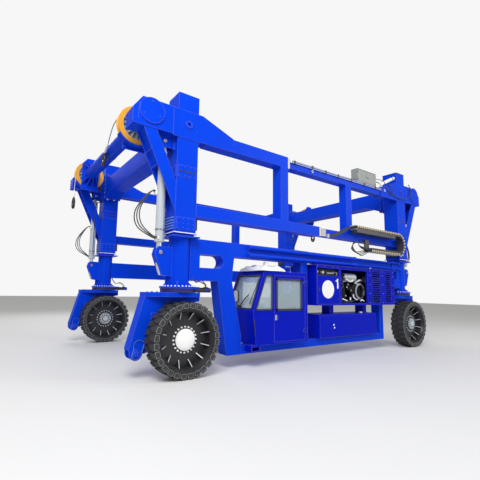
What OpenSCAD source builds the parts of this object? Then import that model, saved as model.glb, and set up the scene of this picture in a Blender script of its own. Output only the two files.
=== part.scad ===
// Straddle carrier that lifts on four posts and lengthens by telescoping side beams.
// +X points forwards, +Y to the machine's left, +Z up, and the wheels stand on z = 0.

/* [Main frame] */
// Distance between the front and rear post centres
wheelbase = 7700; // [7400:10:8200]
// Distance between the left and right post centres
track = 4950; // [4700:10:5300]
// Outer width of a square post sleeve
post_w = 450; // [440:5:480]
// Wall of a post sleeve
post_wall = 16; // [12:1:20]
// Gap between a mast and its sleeve, each side
mast_gap = 9; // [6:1:12]
// Height of a sleeve's lower end
sleeve_z = 2600; // [2590:5:2640]
// Height of the top beams' underside
beam_z = 4490; // [4450:10:4600]
// Depth of the top beams over the posts
beam_h = 540; // [500:10:600]
// Width of the top beams
beam_w = 360; // [340:10:380]
// Reach of the top beams in front of a post centre
nose_reach = 1125; // [1100:5:1200]
// Height of the box on top of each post
cap_h = 350; // [300:10:400]

/* [Side frames] */
// Width of the telescoping chords
chord_w = 280; // [260:10:300]
// Wall of the outer chords
chord_wall = 16; // [12:1:20]
// Gap between an inner chord and its outer chord
chord_gap = 8; // [6:1:12]
// Height of the bottom chord's underside
low_chord_z = 2955; // [2940:5:2980]
// Depth of the bottom chord
low_chord_h = 235; // [220:5:260]
// How far the top chord's underside lies below the deep beam's
top_chord_drop = 15; // [0:5:40]
// Depth of the top chord
top_chord_h = 270; // [250:5:300]
// Rear end of the outer top chord
top_sleeve_x = 1150; // [1100:10:1200]
// Rear end of the outer bottom chord
low_sleeve_x = 60; // [0:10:120]
// Width of the uprights along the machine
upright_w = 230; // [200:10:260]
// Centre of the rear upright
rear_upright_x = -1200; // [-1300:10:-1100]

/* [Cross members] */
// Height of the cross beams' underside
cross_z = 4420; // [4400:5:4440]
// Depth of the cross beams
cross_h = 430; // [400:10:460]
// Distance of the cross tube's axis from the post centre
tube_reach = 770; // [740:10:790]
// Height of the cross tube's axis
tube_z = 4800; // [4790:5:4820]
// Radius of the cross tube
tube_r = 155; // [145:5:175]
// Radius of a sheave
sheave_r = 395; // [385:5:405]
// Width of a sheave
sheave_w = 130; // [110:5:150]

/* [Lift] */
// Height of a round column's lower flange
column_z = 1575; // [1570:5:1580]
// Radius of a round column
column_r = 205; // [190:5:220]
// Distance of a lift cylinder from its post centre
lift_reach = 420; // [410:5:430]
// Radius of a lift cylinder's barrel
barrel_r = 82; // [78:1:88]
// Radius of a lift cylinder's rod
rod_r = 50; // [44:1:54]
// Height of the lower lift pins
low_pin_z = 2222; // [2210:2:2230]
// Height of the upper lift pins
top_pin_z = 4365; // [4360:5:4380]

/* [Wheels] */
// Radius of a tyre over its lugs
tyre_r = 670; // [650:5:690]
// Width of a tyre
tyre_w = 380; // [360:5:400]
// Radius of the rim's seat
rim_r = 545; // [530:5:555]
// Number of lugs around a tyre
lug_count = 28; // [24:1:32]
// Side shift of a tyre's inner face from the steering axis
tyre_shift = 106; // [104:1:112]
// Distance of the swing arm's pivot in front of the steering axis
pivot_reach = 800; // [780:5:820]
// Height of the swing arm's pivot
pivot_z = 450; // [430:5:470]

/* [Chassis] */
// Width of the lower side beams
base_w = 300; // [280:10:320]
// Height of the left side beam's underside
left_beam_z = 2250; // [2245:5:2260]
// Depth of the left side beam
left_beam_h = 290; // [270:5:295]
// Height of the right side beam's underside
right_beam_z = 1870; // [1850:10:1900]
// Depth of the right side beam
right_beam_h = 460; // [420:10:480]
// Rear end of the outer side beams
base_sleeve_x = 400; // [380:10:420]
// Height of the low sill's underside
sill_z = 265; // [255:5:280]
// Depth of the low sill
sill_h = 170; // [150:5:180]

/* [Cab] */
// Front face of the cab
cab_front = 2310; // [2300:5:2330]
// Rear face of the cab
cab_rear = 700; // [680:5:720]
// Outer face of the cab
cab_out = 2850; // [2830:5:2870]
// Inner face of the cab
cab_in = 1930; // [1900:10:1960]
// Underside of the cab
cab_z = 450; // [440:5:460]
// Height of the cab
cab_h = 1540; // [1530:5:1560]
// Wall of the cab
cab_wall = 40; // [36:1:44]
// Height of the windows' lower edge
sash_z = 1160; // [1150:5:1180]
// Setback of the windscreen's upper edge
rake = 300; // [280:5:320]

/* [Power pack] */
// Front face of the power pack
pack_front = 310; // [290:5:330]
// Length of the power pack
pack_len = 3400; // [3350:10:3450]
// Outer face of the power pack
pack_out = 2800; // [2790:5:2820]
// Inner face of the power pack
pack_in = 1950; // [1920:10:1980]
// Underside of the power pack
pack_z = 1240; // [1230:5:1250]
// Height of the power pack
pack_h = 970; // [950:5:980]
// Number of slats in a louvred panel
slat_count = 14; // [10:1:18]

/* [Hidden] */

blue = [0.02, 0.12, 0.85];
black = [0.03, 0.03, 0.035];
steel = [0.75, 0.77, 0.80];
yellow = [0.95, 0.65, 0.10];
white = [0.92, 0.92, 0.90];
grey = [0.55, 0.57, 0.55];
eps = 1;

half_base = wheelbase / 2;
half_track = track / 2;
post_out = post_w / 2;
mast_w = post_w - 2 * post_wall - 2 * mast_gap;
tyre_out = half_track + tyre_shift + tyre_w;
disc_t = 25;
plate_t = 12;
disc_out = half_track + post_out + plate_t + disc_t;
// The left tyres stand out further than the right cover discs, so the frame sits off centre.
centre_y = -(tyre_out - disc_out) / 2;

// Corners: front left, front right, rear left, rear right, as x side and y side.
FL = [1, 1];
FR = [1, -1];
RL = [-1, 1];
RR = [-1, -1];

// Moves a piece that is drawn about the frame's centre line into place.
module placed() {
    translate([0, centre_y, 0])
        children();
}

// Puts a piece drawn about a post axis at one corner; rear corners face backwards.
module corner(c) {
    placed()
        translate([c[0] * half_base, c[1] * half_track, 0])
            mirror([c[0] < 0 ? 1 : 0, 0, 0])
                children();
}

// Repeats a piece drawn for the left side, at y = 0 on the post centre, on both sides.
module both_sides() {
    placed()
        for (side = [1, -1])
            mirror([0, side < 0 ? 1 : 0, 0])
                translate([0, half_track, 0])
                    children();
}

// Turns a piece drawn for the front end to the rear end.
module at_end(front) {
    mirror([front ? 0 : 1, 0, 0])
        children();
}

// Extrudes an outline given as x and z pairs across the machine, from y0 to y1.
module side_plate(points, y0, y1) {
    translate([0, y1, 0])
        rotate([90, 0, 0])
            linear_extrude(height = y1 - y0)
                polygon(points);
}

// Cylinder along Y, from y0 to y1.
module cross_pin(x, z, r, y0, y1) {
    translate([x, y1, z])
        rotate([90, 0, 0])
            cylinder(r = r, h = y1 - y0, $fn = 48);
}

// Box from its low corner to its high corner.
module block(low, high) {
    translate(low)
        cube(high - low);
}

// Lower columns with their masts and lift rods
mast_top = beam_z + beam_h + cap_h - 60;
kingpin_r = 120;
kingpin_h = 135;
running = 0.05;
seat = 0.3;
flange_r = 350;
flange_t = 35;
flange_rib_t = 16;
flange_rib_h = 105;
head_z = sleeve_z - 70;
head_w = 580;
head_t = 26;
lug_y = 60;
lug_t = 25;
lug_top = low_pin_z + 118;
lug_low = low_pin_z - 422;
lug_front = lift_reach + 105;
lug_foot = lug_front - 138;
barrel_top = top_pin_z - 165;
rod_top = barrel_top - 60;
eye_r = 72;
lift_pin_r = 34;
pin_head = 14;
drive_in = flange_r - 8;
drive_len = 100;
drive_w = 60;
drive_h = 69;
motor_r = 46;
motor_len = 278;

// Side outline of the lug that holds the lift pin
function lug_outline() = [
    [column_r - 60, lug_top], [lift_reach + 40, lug_top], [lug_front - 25, lug_top - 50],
    [lug_front, lug_top - 150], [lug_foot, lug_low + 15], [lug_foot - 87, lug_low], [column_r - 60, lug_low]
];

module column_lug() {
    for (side = [-1, 1])
        side_plate(lug_outline(), side > 0 ? lug_y : -lug_y - lug_t, side > 0 ? lug_y + lug_t : -lug_y);
    // Front and bottom plate that close the lug below the pin
    side_plate([[lug_front - 9, lug_top - 175], [lug_front - 34, lug_top - 175],
                [lug_foot - 16, lug_low + 40],
                [column_r - 20, lug_low + lug_t], [column_r - 20, lug_low], [lug_foot - 87, lug_low],
                [lug_foot, lug_low + 15]], -lug_y - eps, lug_y + eps);
    // Rib from the lug down to the flange
    side_plate([[column_r - 10, lug_low + eps], [column_r + 65, lug_low + eps],
                [column_r + 65, lug_low - 130],
                [flange_r - 20, column_z + flange_t - eps], [column_r - 10, column_z + flange_t - eps]],
                -10, 10);
}

module column_rib() {
    foot_z = column_z + flange_t - eps;
    side_plate([[column_r - 10, foot_z], [flange_r - 30, foot_z], [flange_r - 30, foot_z + 15],
                [column_r - 10, foot_z + flange_rib_h]], -flange_rib_t / 2, flange_rib_t / 2);
}

// Steering motor on its gear housing behind the flange
module steer_drive() {
    block([-drive_in - drive_len, -drive_w, column_z], [-flange_r + 50, drive_w, column_z + flange_t]);
    block([-drive_in - drive_len, -drive_w, column_z - drive_h], [-drive_in, drive_w, column_z + eps]);
    translate([-drive_in - drive_len - motor_len, 0, column_z - drive_h + motor_r])
        rotate([0, 90, 0])
            cylinder(r = motor_r, h = motor_len + eps, $fn = 40);
}

module column(c) {
    corner(c) color(blue) {
        translate([0, 0, column_z])
            cylinder(r = flange_r, h = flange_t, $fn = 64);
        translate([0, 0, column_z + flange_t - eps])
            cylinder(r = column_r, h = head_z - column_z - flange_t + eps, $fn = 64);
        for (a = [60 : 60 : 300])
            rotate([0, 0, a])
                column_rib();
        // Head plate that carries the mast
        block([-head_w / 2, -head_w / 2, head_z - eps], [head_w / 2, head_w / 2, head_z + head_t]);
        block([-mast_w / 2, -mast_w / 2, head_z + head_t - eps], [mast_w / 2, mast_w / 2, mast_top]);
        // Kingpin that the knuckle turns on
        translate([0, 0, column_z - kingpin_h])
            cylinder(r = kingpin_r, h = kingpin_h + eps, $fn = 48);
        column_lug();
        steer_drive();
    }
    // Lift rod, pinned to the lug at its lower eye
    corner(c) color(steel) {
        cross_pin(lift_reach, low_pin_z, eye_r, -lug_y - eps, lug_y + eps);
        cross_pin(lift_reach, low_pin_z, lift_pin_r, -lug_y - lug_t - pin_head, lug_y + lug_t + pin_head);
        translate([lift_reach, 0, low_pin_z + eye_r - 27])
            cylinder(r = rod_r, h = rod_top - low_pin_z - eye_r + 27, $fn = 48);
    }
}

// Lift barrels, which ride on the upper frame
gland_z = lug_top + 90;
gland_h = 90;
gland_wall = 10;
cap_t = 40;
bore_r = rod_r + 12;
port_r = 22;
port_out = 30;

module barrel() {
    translate([lift_reach, 0, 0])
        rotate_extrude($fn = 64)
            polygon([[rod_r + seat, gland_z], [barrel_r + gland_wall, gland_z],
                     [barrel_r + gland_wall, gland_z + gland_h], [barrel_r, gland_z + gland_h + 6],
                     [barrel_r, barrel_top - cap_t + 10], [barrel_r - 25, barrel_top], [0, barrel_top],
                     [0, barrel_top - cap_t], [bore_r, barrel_top - cap_t], [bore_r, gland_z + gland_h - 20],
                     [rod_r + seat, gland_z + gland_h - 20]]);
    cross_pin(lift_reach, top_pin_z, eye_r, -lug_y + seat, lug_y - seat);
    cross_pin(lift_reach, top_pin_z, lift_pin_r, -lug_y - lug_t - pin_head, lug_y + lug_t + pin_head);
    block([lift_reach - 45, -lug_y + 8, barrel_top - eps],
          [lift_reach + 45, lug_y - 8, top_pin_z - lift_pin_r - 12]);
    // Oil ports on the inner side
    for (z = [gland_z + gland_h + 60, barrel_top - 120])
        cross_pin(lift_reach, z, port_r, -barrel_r - port_out, -barrel_r + 8);
}

module barrels(front) {
    color(white)
        at_end(front)
            both_sides()
                translate([half_base, 0, 0])
                    barrel();
}

// Posts: square sleeves with wear pad housings, caps, lift brackets and braces
sleeve_in = post_w / 2 - post_wall;
cap_top = beam_z + beam_h + cap_h;
mouth_w = 25;
mouth_t = 22;
pad_h = 230;
pad_in = 25;
pad_t = 9;
low_pad_z = sleeve_z + 75;
high_pad_z = sleeve_z + 1085;
strip_count = 5;
strip_h = 20;
strip_t = 18;

// Bolted housings of the wear pads, on all faces but the rear one
module adjuster(z) {
    block([-post_out + pad_in, post_out - eps, z], [post_out - pad_in, post_out + pad_t, z + pad_h]);
    block([post_out - eps, -post_out + pad_in, z], [post_out + pad_t, post_out - pad_in, z + pad_h]);
    block([-post_out + pad_in, -post_out - pad_t, z], [post_out - pad_in, -post_out + eps, z + pad_h]);
}

// Stacked strips on the front face of the lower housing
module pad_strips(z) {
    pitch = (pad_h - strip_h) / (strip_count - 1);
    for (i = [0 : strip_count - 1])
        block([post_out + pad_t - eps, -post_out + pad_in + 15, z + i * pitch],
              [post_out + pad_t + strip_t, post_out - pad_in - 15, z + i * pitch + strip_h]);
}

// Space inside the sleeve, closed in around the mast by the wear pads at two heights
module sleeve_bore() {
    reach = mast_w / 2 + seat;
    difference() {
        block([-sleeve_in, -sleeve_in, sleeve_z - eps], [sleeve_in, sleeve_in, cap_top - post_wall]);
        for (z = [low_pad_z, high_pad_z])
            difference() {
                block([-sleeve_in - eps, -sleeve_in - eps, z], [sleeve_in + eps, sleeve_in + eps, z + pad_h]);
                block([-reach, -reach, z - eps], [reach, reach, z + pad_h + eps]);
            }
    }
}

bracket_low = top_pin_z - 115;

// Two ears for the upper lift pin, with their back plate on the post
module lift_bracket() {
    ear = [[post_out - eps, beam_z], [lift_reach + 110, beam_z], [lift_reach + 90, top_pin_z - 40],
           [lift_reach + 60, bracket_low], [post_out - eps, bracket_low]];
    difference() {
        for (side = [-1, 1])
            side_plate(ear, side > 0 ? lug_y : -lug_y - lug_t, side > 0 ? lug_y + lug_t : -lug_y);
        cross_pin(lift_reach, top_pin_z, lift_pin_r + running, -lug_y - lug_t - eps, lug_y + lug_t + eps);
    }
    block([post_out - eps, -lug_y - lug_t - 25, bracket_low - 20],
          [post_out + 20, lug_y + lug_t + 25, beam_z]);
}

brace_drop = 1490;
brace_t = 20;
brace_out = post_out - 22;
brace_in = -barrel_r - gland_wall;
brace_top = nose_reach - 210;
brace_depth = 260;
brace_slope = (brace_top - post_out + 10) / brace_drop;
web_inset = 55;
web_t = 12;
web_low = beam_z - 660;

// Front edge of the brace at a height, from the post centre
function brace_x(z) = brace_top - (beam_z - z) * brace_slope;

// Brace under the nose: two flange plates, with a set back web over the lift barrel
module brace() {
    flange = [[brace_top, beam_z], [brace_top - brace_depth, beam_z],
              [post_out - eps, beam_z - (brace_top - brace_depth - post_out) / brace_slope],
              [post_out - eps, beam_z - brace_drop]];
    web = [[brace_x(beam_z) - web_inset, beam_z], [brace_x(beam_z) - web_inset - web_t, beam_z],
           [brace_x(web_low) - web_inset - web_t, web_low], [brace_x(web_low) - web_inset, web_low]];
    for (y = [brace_in - brace_t, brace_out])
        side_plate(flange, y, y + brace_t);
    side_plate(web, brace_in - eps, brace_out + eps);
    for (z = [web_low, beam_z - 390])
        side_plate([[brace_x(z) - web_inset - eps, z], [brace_x(z) - 4, z],
                    [brace_x(z + web_t) - 4, z + web_t],
                    [brace_x(z + web_t) - web_inset - eps, z + web_t]], brace_in - eps, brace_out + eps);
}

module post() {
    difference() {
        union() {
            block([-post_out, -post_out, sleeve_z], [post_out, post_out, cap_top]);
            block([-post_out - mouth_w, -post_out - mouth_w, sleeve_z],
                  [post_out + mouth_w, post_out + mouth_w, sleeve_z + mouth_t]);
            for (z = [low_pad_z, high_pad_z])
                adjuster(z);
            pad_strips(low_pad_z);
        }
        sleeve_bore();
    }
    lift_bracket();
    brace();
}

module posts(front) {
    color(blue)
        at_end(front)
            both_sides()
                translate([half_base, 0, 0])
                    post();
}

// Side frames: nose beam, haunch, chords and uprights
beam_in = post_out - beam_w;
chord_in = post_out - chord_w;
top_chord_z = beam_z - top_chord_drop;
haunch_run = 1090;
haunch_x = half_base - haunch_run;
nose_x = half_base + nose_reach;
nose_face = 300;
nose_chamfer = 170;
haunch_top = 320;
haunch_low = 420;
disc_r = 245;
seam_x = half_base + 330;
seam_w = 5;
skirt = 25;

// Outline of the deep top beam: nose, chamfer, flat top and haunch down to the chord
function beam_outline() = [
    [nose_x, beam_z], [nose_x, beam_z + nose_face], [nose_x - nose_chamfer, beam_z + beam_h],
    [half_base - haunch_top, beam_z + beam_h], [haunch_x, top_chord_z + top_chord_h],
    [top_sleeve_x, top_chord_z + top_chord_h], [top_sleeve_x, top_chord_z],
    [half_base - haunch_low, top_chord_z], [half_base - haunch_low - 20, beam_z]
];

// Outline of the plate on the nose
function nose_plate() = [
    [nose_x, beam_z], [nose_x, beam_z + nose_face], [nose_x - nose_chamfer, beam_z + beam_h],
    [seam_x + seam_w, beam_z + beam_h], [seam_x + seam_w, beam_z]
];

// Outline of the deeper plate that runs past the post
function post_plate() = [
    [seam_x, beam_z - skirt], [seam_x, beam_z + beam_h], [half_base - haunch_top, beam_z + beam_h],
    [haunch_x, top_chord_z + top_chord_h], [haunch_x, beam_z - skirt]
];

lift_hole_r = 40;
lift_hole_z = tube_z - 48;
lift_boss_t = 18;
lift_boss_w = 35;

// Outer plates with the sheave pin's cover disc and the lifting hole in its boss
module outer_plate() {
    difference() {
        union() {
            side_plate(nose_plate(), post_out - eps, post_out + plate_t);
            side_plate(post_plate(), post_out, post_out + plate_t);
            cross_pin(half_base, lift_hole_z, lift_hole_r + lift_boss_w, post_out + plate_t - eps,
                      post_out + plate_t + lift_boss_t);
            cross_pin(half_base + tube_reach, tube_z, disc_r, post_out + plate_t - eps,
                      disc_out - half_track);
        }
        cross_pin(half_base, lift_hole_z, lift_hole_r, post_out - eps,
                  post_out + plate_t + lift_boss_t + eps);
    }
}

// Room of the inner chord inside an outer chord
module chord_hollow(z, h, x0, x1) {
    block([x0, chord_in + chord_wall, z + chord_wall], [x1, post_out - chord_wall, z + h - chord_wall]);
}

module nose() {
    intersection() {
        side_plate(beam_outline(), beam_in, post_out);
        block([half_base + post_out, -track, 0], [nose_x + eps, track, 2 * beam_z]);
    }
}

end_stop = 60;
hollow_end = half_base - post_out - end_stop;

module front_side_frame() {
    nose();
    outer_plate();
    // Haunch and outer top chord behind the post
    difference() {
        intersection() {
            side_plate(beam_outline(), chord_in, post_out);
            block([top_sleeve_x - eps, -track, 0], [half_base - post_out, track, 2 * beam_z]);
        }
        chord_hollow(top_chord_z, top_chord_h, top_sleeve_x - 2 * eps, hollow_end);
    }
    // Outer bottom chord
    difference() {
        block([low_sleeve_x, chord_in, low_chord_z],
              [half_base - post_out, post_out, low_chord_z + low_chord_h]);
        chord_hollow(low_chord_z, low_chord_h, low_sleeve_x - eps, hollow_end);
    }
    // Upright
    block([top_sleeve_x, chord_in, low_chord_z + low_chord_h - eps],
          [top_sleeve_x + upright_w, post_out, top_chord_z + eps]);
}

module front_side_frames() {
    color(blue)
        both_sides()
            front_side_frame();
}

grow = chord_wall + chord_gap;
inner_front_x = hollow_end - end_stop;

module inner_chord(z, h) {
    block([-half_base + post_out, chord_in + grow, z + grow], [inner_front_x, post_out - grow, z + h - grow]);
}

module rear_side_frame() {
    inner_chord(top_chord_z, top_chord_h);
    inner_chord(low_chord_z, low_chord_h);
    block([rear_upright_x - upright_w / 2, chord_in + grow, low_chord_z + low_chord_h - grow - eps],
          [rear_upright_x + upright_w / 2, post_out - grow, top_chord_z + grow + eps]);
    mirror([1, 0, 0]) {
        nose();
        outer_plate();
        intersection() {
            side_plate(beam_outline(), chord_in, post_out);
            block([haunch_x, -track, 0], [half_base - post_out, track, 2 * beam_z]);
        }
    }
}

module rear_side_frames() {
    color(blue)
        both_sides()
            rear_side_frame();
}

// Slide pads at the mouths of the outer chords
pad_len = 60;

module pad_stack(x, z, h) {
    difference() {
        block([x - pad_len, chord_in, z], [x, post_out, z + h]);
        block([x - pad_len - eps, chord_in + grow - seat, z + grow - seat],
              [x + eps, post_out - grow + seat, z + h - grow + seat]);
    }
}

module slide_pads() {
    color(white)
        both_sides() {
            pad_stack(top_sleeve_x, top_chord_z, top_chord_h);
            pad_stack(low_sleeve_x, low_chord_z, low_chord_h);
        }
}

// Cross beams between the posts, haunched at both ends
cross_half = half_track - post_out;
cross_drop = 140;
haunch_flat = 260;
haunch_end = 620;
crown_flat = 200;
crown_end = 520;
splice_in = 80;
splice_t = 30;
splice_w = 25;
boss_r = 62;
boss_h = 45;
boss_in = 205;
boss_x = [-30, 170];

module cross_beam() {
    y = cross_half;
    top = beam_z + beam_h;
    translate([half_base - post_out, 0, 0])
        rotate([90, 0, 90])
            linear_extrude(height = post_w)
                polygon([[-y, cross_z - cross_drop], [-y + haunch_flat, cross_z - cross_drop],
                         [-y + haunch_end, cross_z], [y - haunch_end, cross_z],
                         [y - haunch_flat, cross_z - cross_drop], [y, cross_z - cross_drop], [y, top],
                         [y - crown_flat, top], [y - crown_end, cross_z + cross_h],
                         [-y + crown_end, cross_z + cross_h], [-y + crown_flat, top], [-y, top]]);
    for (side = [1, -1])
        mirror([0, side < 0 ? 1 : 0, 0]) {
            // Bolted splice plates and the bosses of the anchor bolts under the haunch
            block([half_base - post_out - splice_w, y - splice_in - splice_t,
                   cross_z - cross_drop - splice_w],
                  [half_base + post_out + splice_w, y - splice_in, top + splice_w]);
            for (x = boss_x)
                translate([half_base + x, y - boss_in, cross_z - cross_drop - boss_h])
                    cylinder(r = boss_r, h = boss_h + eps, $fn = 40);
        }
}

// Cross tube with its star plates, sheave pins and their collars
star_inset = 470;
star_y = half_track - post_w / 2 - star_inset;
star_t = 30;
star_w = 460;
star_h = 930;
star_cut = 130;
star_drop = 160;
pin_r = 90;
gusset_t = 18;
gusset_run = 260;
gusset_turns = [-38, -14, 12, 36];
sheave_gap = 45;
hub_extra = 20;
sheave_y = star_y + star_t + sheave_gap + sheave_w / 2;
collar_w = 25;

// Distance from the tube's axis to a star plate's edge in a direction from the vertical
function star_reach(a) = min(star_w / 2 / max(abs(sin(a)), 0.01), (star_h / 2 - star_drop / 2) / cos(a)) - 12;

// Triangular rib between the tube and its star plate
module gusset(reach) {
    rotate([90, 0, 90])
        translate([0, 0, -gusset_t / 2])
            linear_extrude(height = gusset_t)
                polygon([[eps, tube_r - 12], [eps, reach], [-12, reach], [-gusset_run, tube_r + 4],
                         [-gusset_run, tube_r - 12]]);
}

module star_plate() {
    side_plate([[star_w / 2, -star_h / 2], [star_w / 2, star_h / 2 - star_drop],
                [star_w / 2 - star_cut, star_h / 2], [-star_w / 2 + star_cut, star_h / 2],
                [-star_w / 2, star_h / 2 - star_drop], [-star_w / 2, -star_h / 2]], star_y, star_y + star_t);
    for (a = gusset_turns, turn = [0, 180])
        rotate([0, a + turn, 0])
            translate([0, star_y, 0])
                gusset(star_reach(a));
    cross_pin(0, 0, pin_r, star_y + star_t - eps, half_track + beam_in);
    cross_pin(0, 0, pin_r + collar_w, sheave_y + sheave_w / 2 + 2 * hub_extra,
              sheave_y + sheave_w / 2 + 3 * hub_extra);
}

module tube() {
    translate([half_base + tube_reach, 0, tube_z]) {
        cross_pin(0, 0, tube_r, -star_y - eps, star_y + eps);
        for (side = [1, -1])
            mirror([0, side < 0 ? 1 : 0, 0])
                star_plate();
    }
}

module cross_members(front) {
    color(blue)
        placed()
            at_end(front) {
                cross_beam();
                tube();
            }
}

// Ribbed sheaves, each on its own pin
sheave_ring = 95;
groove = 42;
lip = 22;
web_plate_t = 24;
hub_out_r = 150;
spoke_count = 16;
spoke_t = 16;

module sheave(c) {
    corner(c)
        translate([tube_reach, c[1] * (sheave_y - half_track), tube_z])
            rotate([90, 0, 0]) {
                color(yellow)
                    rotate_extrude($fn = 72)
                        polygon([[sheave_r - sheave_ring, -sheave_w / 2], [sheave_r, -sheave_w / 2],
                                 [sheave_r, -sheave_w / 2 + lip], [sheave_r - groove, -12],
                                 [sheave_r - groove, 12], [sheave_r, sheave_w / 2 - lip],
                                 [sheave_r, sheave_w / 2], [sheave_r - sheave_ring, sheave_w / 2]]);
                color(steel) {
                    difference() {
                        union() {
                            cylinder(r = hub_out_r, h = sheave_w + 2 * hub_extra, center = true, $fn = 48);
                            cylinder(r = sheave_r - sheave_ring + eps, h = web_plate_t, center = true,
                                     $fn = 72);
                        }
                        cylinder(r = pin_r + running, h = sheave_w + 3 * hub_extra, center = true, $fn = 48);
                    }
                    for (i = [0 : spoke_count - 1])
                        rotate([0, 0, i * 360 / spoke_count])
                            translate([(sheave_r - sheave_ring + hub_out_r) / 2, 0, 0])
                                cube([sheave_r - sheave_ring - hub_out_r + 4, spoke_t, sheave_w - 20],
                                     center = true);
                }
            }
}

// Energy chain: a fixed loop of links with its tray, on the outside of the left inner chord
chain_link = 90;
chain_h = 100;
chain_w = 200;
chain_r = 275;
chain_slot = 12;
chain_waist = 14;
chain_mid_z = low_chord_z + 70;
chain_front = rear_upright_x;
chain_rear = -half_base + 580;
chain_low_front = chain_rear + 16 * chain_link;
bend_count = 10;
tray_lip = 10;
tray_seat = 60;
hanger_t = 34;
hanger_w = 200;

// One link with a narrow waist at its joint
module chain_piece(length) {
    block([0, 0, -chain_h / 2], [length - chain_slot, chain_w, chain_h / 2]);
    block([length - chain_slot - eps, chain_slot, -chain_h / 2 + chain_waist],
          [length + eps, chain_w - chain_slot, chain_h / 2 - chain_waist]);
}

module chain_run(x0, x1, z) {
    for (i = [0 : round((x1 - x0) / chain_link) - 1])
        translate([x0 + i * chain_link, 0, z])
            chain_piece(chain_link);
}

module chain_bend() {
    bend_len = PI * chain_r / bend_count;
    for (i = [0 : bend_count - 1])
        translate([chain_rear, 0, chain_mid_z])
            rotate([0, -90 - (i + 0.5) * 180 / bend_count, 0])
                translate([chain_r, 0, 0])
                    rotate([0, 90, 0])
                        translate([-bend_len / 2, 0, 0])
                            chain_piece(bend_len);
}

module energy_chain() {
    chord_top = low_chord_z + low_chord_h - grow;
    tray_top = chain_mid_z + chain_r - chain_h / 2 + eps;
    color(black)
        placed()
            translate([0, half_track + post_out + tray_lip, 0]) {
                chain_run(chain_rear, chain_front, chain_mid_z + chain_r);
                chain_run(chain_rear, chain_low_front, chain_mid_z - chain_r);
                chain_bend();
                // Tray under the top run, seated on the inner chord behind the upright
                block([chain_rear + hanger_w, tray_lip, chord_top], [chain_front, chain_w, tray_top]);
                block([chain_rear + hanger_w, -grow - tray_seat, chord_top],
                      [rear_upright_x - upright_w / 2, tray_lip + eps, tray_top]);
                // Hanger of the low run's end
                block([chain_low_front - hanger_w, -hanger_t, chain_mid_z - chain_r - chain_h / 2],
                      [chain_low_front, eps, low_chord_z + 90]);
            }
}

// Electric box on the left top chord
box_front = -1670;
box_len = 920;
box_h = 370;

module electric_box() {
    chord_top = top_chord_z + top_chord_h - grow;
    color(grey)
        placed()
            translate([0, half_track, 0])
                block([box_front - box_len, chord_in + 20, chord_top],
                      [box_front, post_out - 60, top_chord_z + top_chord_h + box_h]);
}

// Knuckles, swing arms, rims and tyres
ring_t = 75;
ring_r = flange_r - 20;
top_t = 80;
top_plate_z = column_z - ring_t;
top_low_z = top_plate_z - top_t;
top_rear = -430;
top_front = 690;
top_waist = 330;
top_wing_in = 160;
top_wing_out = 190;
leg_in = -150;
leg_out = 90;
leg_t = 25;
cheek_r = 118;
cheek_pad_r = 72;
cheek_pad_t = 12;
cheek_front = 132;
hub_r = 165;
arm_t = 90;
arm_pin_r = 75;
spindle_r = 60;
spindle_h = 60;
strut_r = 55;
strut_x = 60;
disc_y = 140;

// Points of an arc in the x and z plane
function arc(x, z, r, a0, a1, n) = [
    for (i = [0 : n])
        [x + r * cos(a0 + (a1 - a0) * i / n), z + r * sin(a0 + (a1 - a0) * i / n)]
];

// Side outline of a knuckle's leg about the steering axis, rounded under the pivot
function leg_outline() = concat(
    [[top_rear, top_low_z], [top_rear, top_low_z - 80], [top_rear + 330, top_low_z - 150],
     [top_front - 360, top_low_z - 320], [top_front - 130, top_low_z - 680]],
    arc(pivot_reach, pivot_z, cheek_r, 165, 375, 14),
    [[pivot_reach + cheek_front, pivot_z + 60], [top_front, top_low_z]]
);

// Swing arm from its pivot back to the hub, with the suspension cylinder over it
module swing_arm() {
    mid = (leg_in + leg_out) / 2;
    arm_h = 60;
    side_plate([[pivot_reach + arm_h, pivot_z - arm_h], [pivot_reach + arm_h, pivot_z + arm_h],
                [arm_h, tyre_r + 2 * arm_h - 10], [-arm_h, tyre_r + 2 * arm_h - 20],
                [-arm_h - 30, tyre_r - arm_h],
                [20, tyre_r - 2 * arm_h - 10]], mid - arm_t / 2, mid + arm_t / 2);
    cross_pin(pivot_reach, pivot_z, arm_pin_r, leg_in + leg_t - eps, leg_out - leg_t + eps);
    cross_pin(0, tyre_r, hub_r, leg_in + leg_t + 5, tyre_shift + spindle_h);
    cross_pin(0, tyre_r, spindle_r, tyre_shift + spindle_h - eps, tyre_shift + disc_y + spindle_h);
    translate([strut_x, mid, tyre_r])
        cylinder(r = strut_r, h = top_low_z + eps - tyre_r, $fn = 32);
}

module knuckle(c) {
    corner(c) color(blue) {
        difference() {
            union() {
                translate([0, 0, top_low_z])
                    linear_extrude(height = top_t)
                        polygon([[top_rear, leg_in - 60], [-top_waist, leg_in - top_wing_in],
                                 [top_waist, leg_in - top_wing_in], [top_front, leg_in], [top_front, leg_out],
                                 [top_waist, leg_out + top_wing_out], [-top_waist, leg_out + top_wing_out],
                                 [top_rear, leg_out]]);
                // Slewing ring
                translate([0, 0, top_plate_z - eps])
                    cylinder(r = ring_r, h = ring_t, $fn = 64);
            }
            translate([0, 0, column_z - kingpin_h - 5])
                cylinder(r = kingpin_r + running, h = kingpin_h + 10, $fn = 48);
        }
        side_plate(leg_outline(), leg_in, leg_in + leg_t);
        side_plate(leg_outline(), leg_out - leg_t, leg_out);
        // Front plate
        side_plate([[top_front, top_low_z + eps], [top_front - leg_t, top_low_z + eps],
                    [pivot_reach + cheek_front - leg_t - 12, pivot_z + 60],
                    [pivot_reach + cheek_front, pivot_z + 60]],
                   leg_in + eps, leg_out - eps);
        for (y = [leg_out - eps, leg_in - cheek_pad_t + eps])
            cross_pin(pivot_reach, pivot_z, cheek_pad_r, y, y + cheek_pad_t);
        swing_arm();
    }
}

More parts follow.
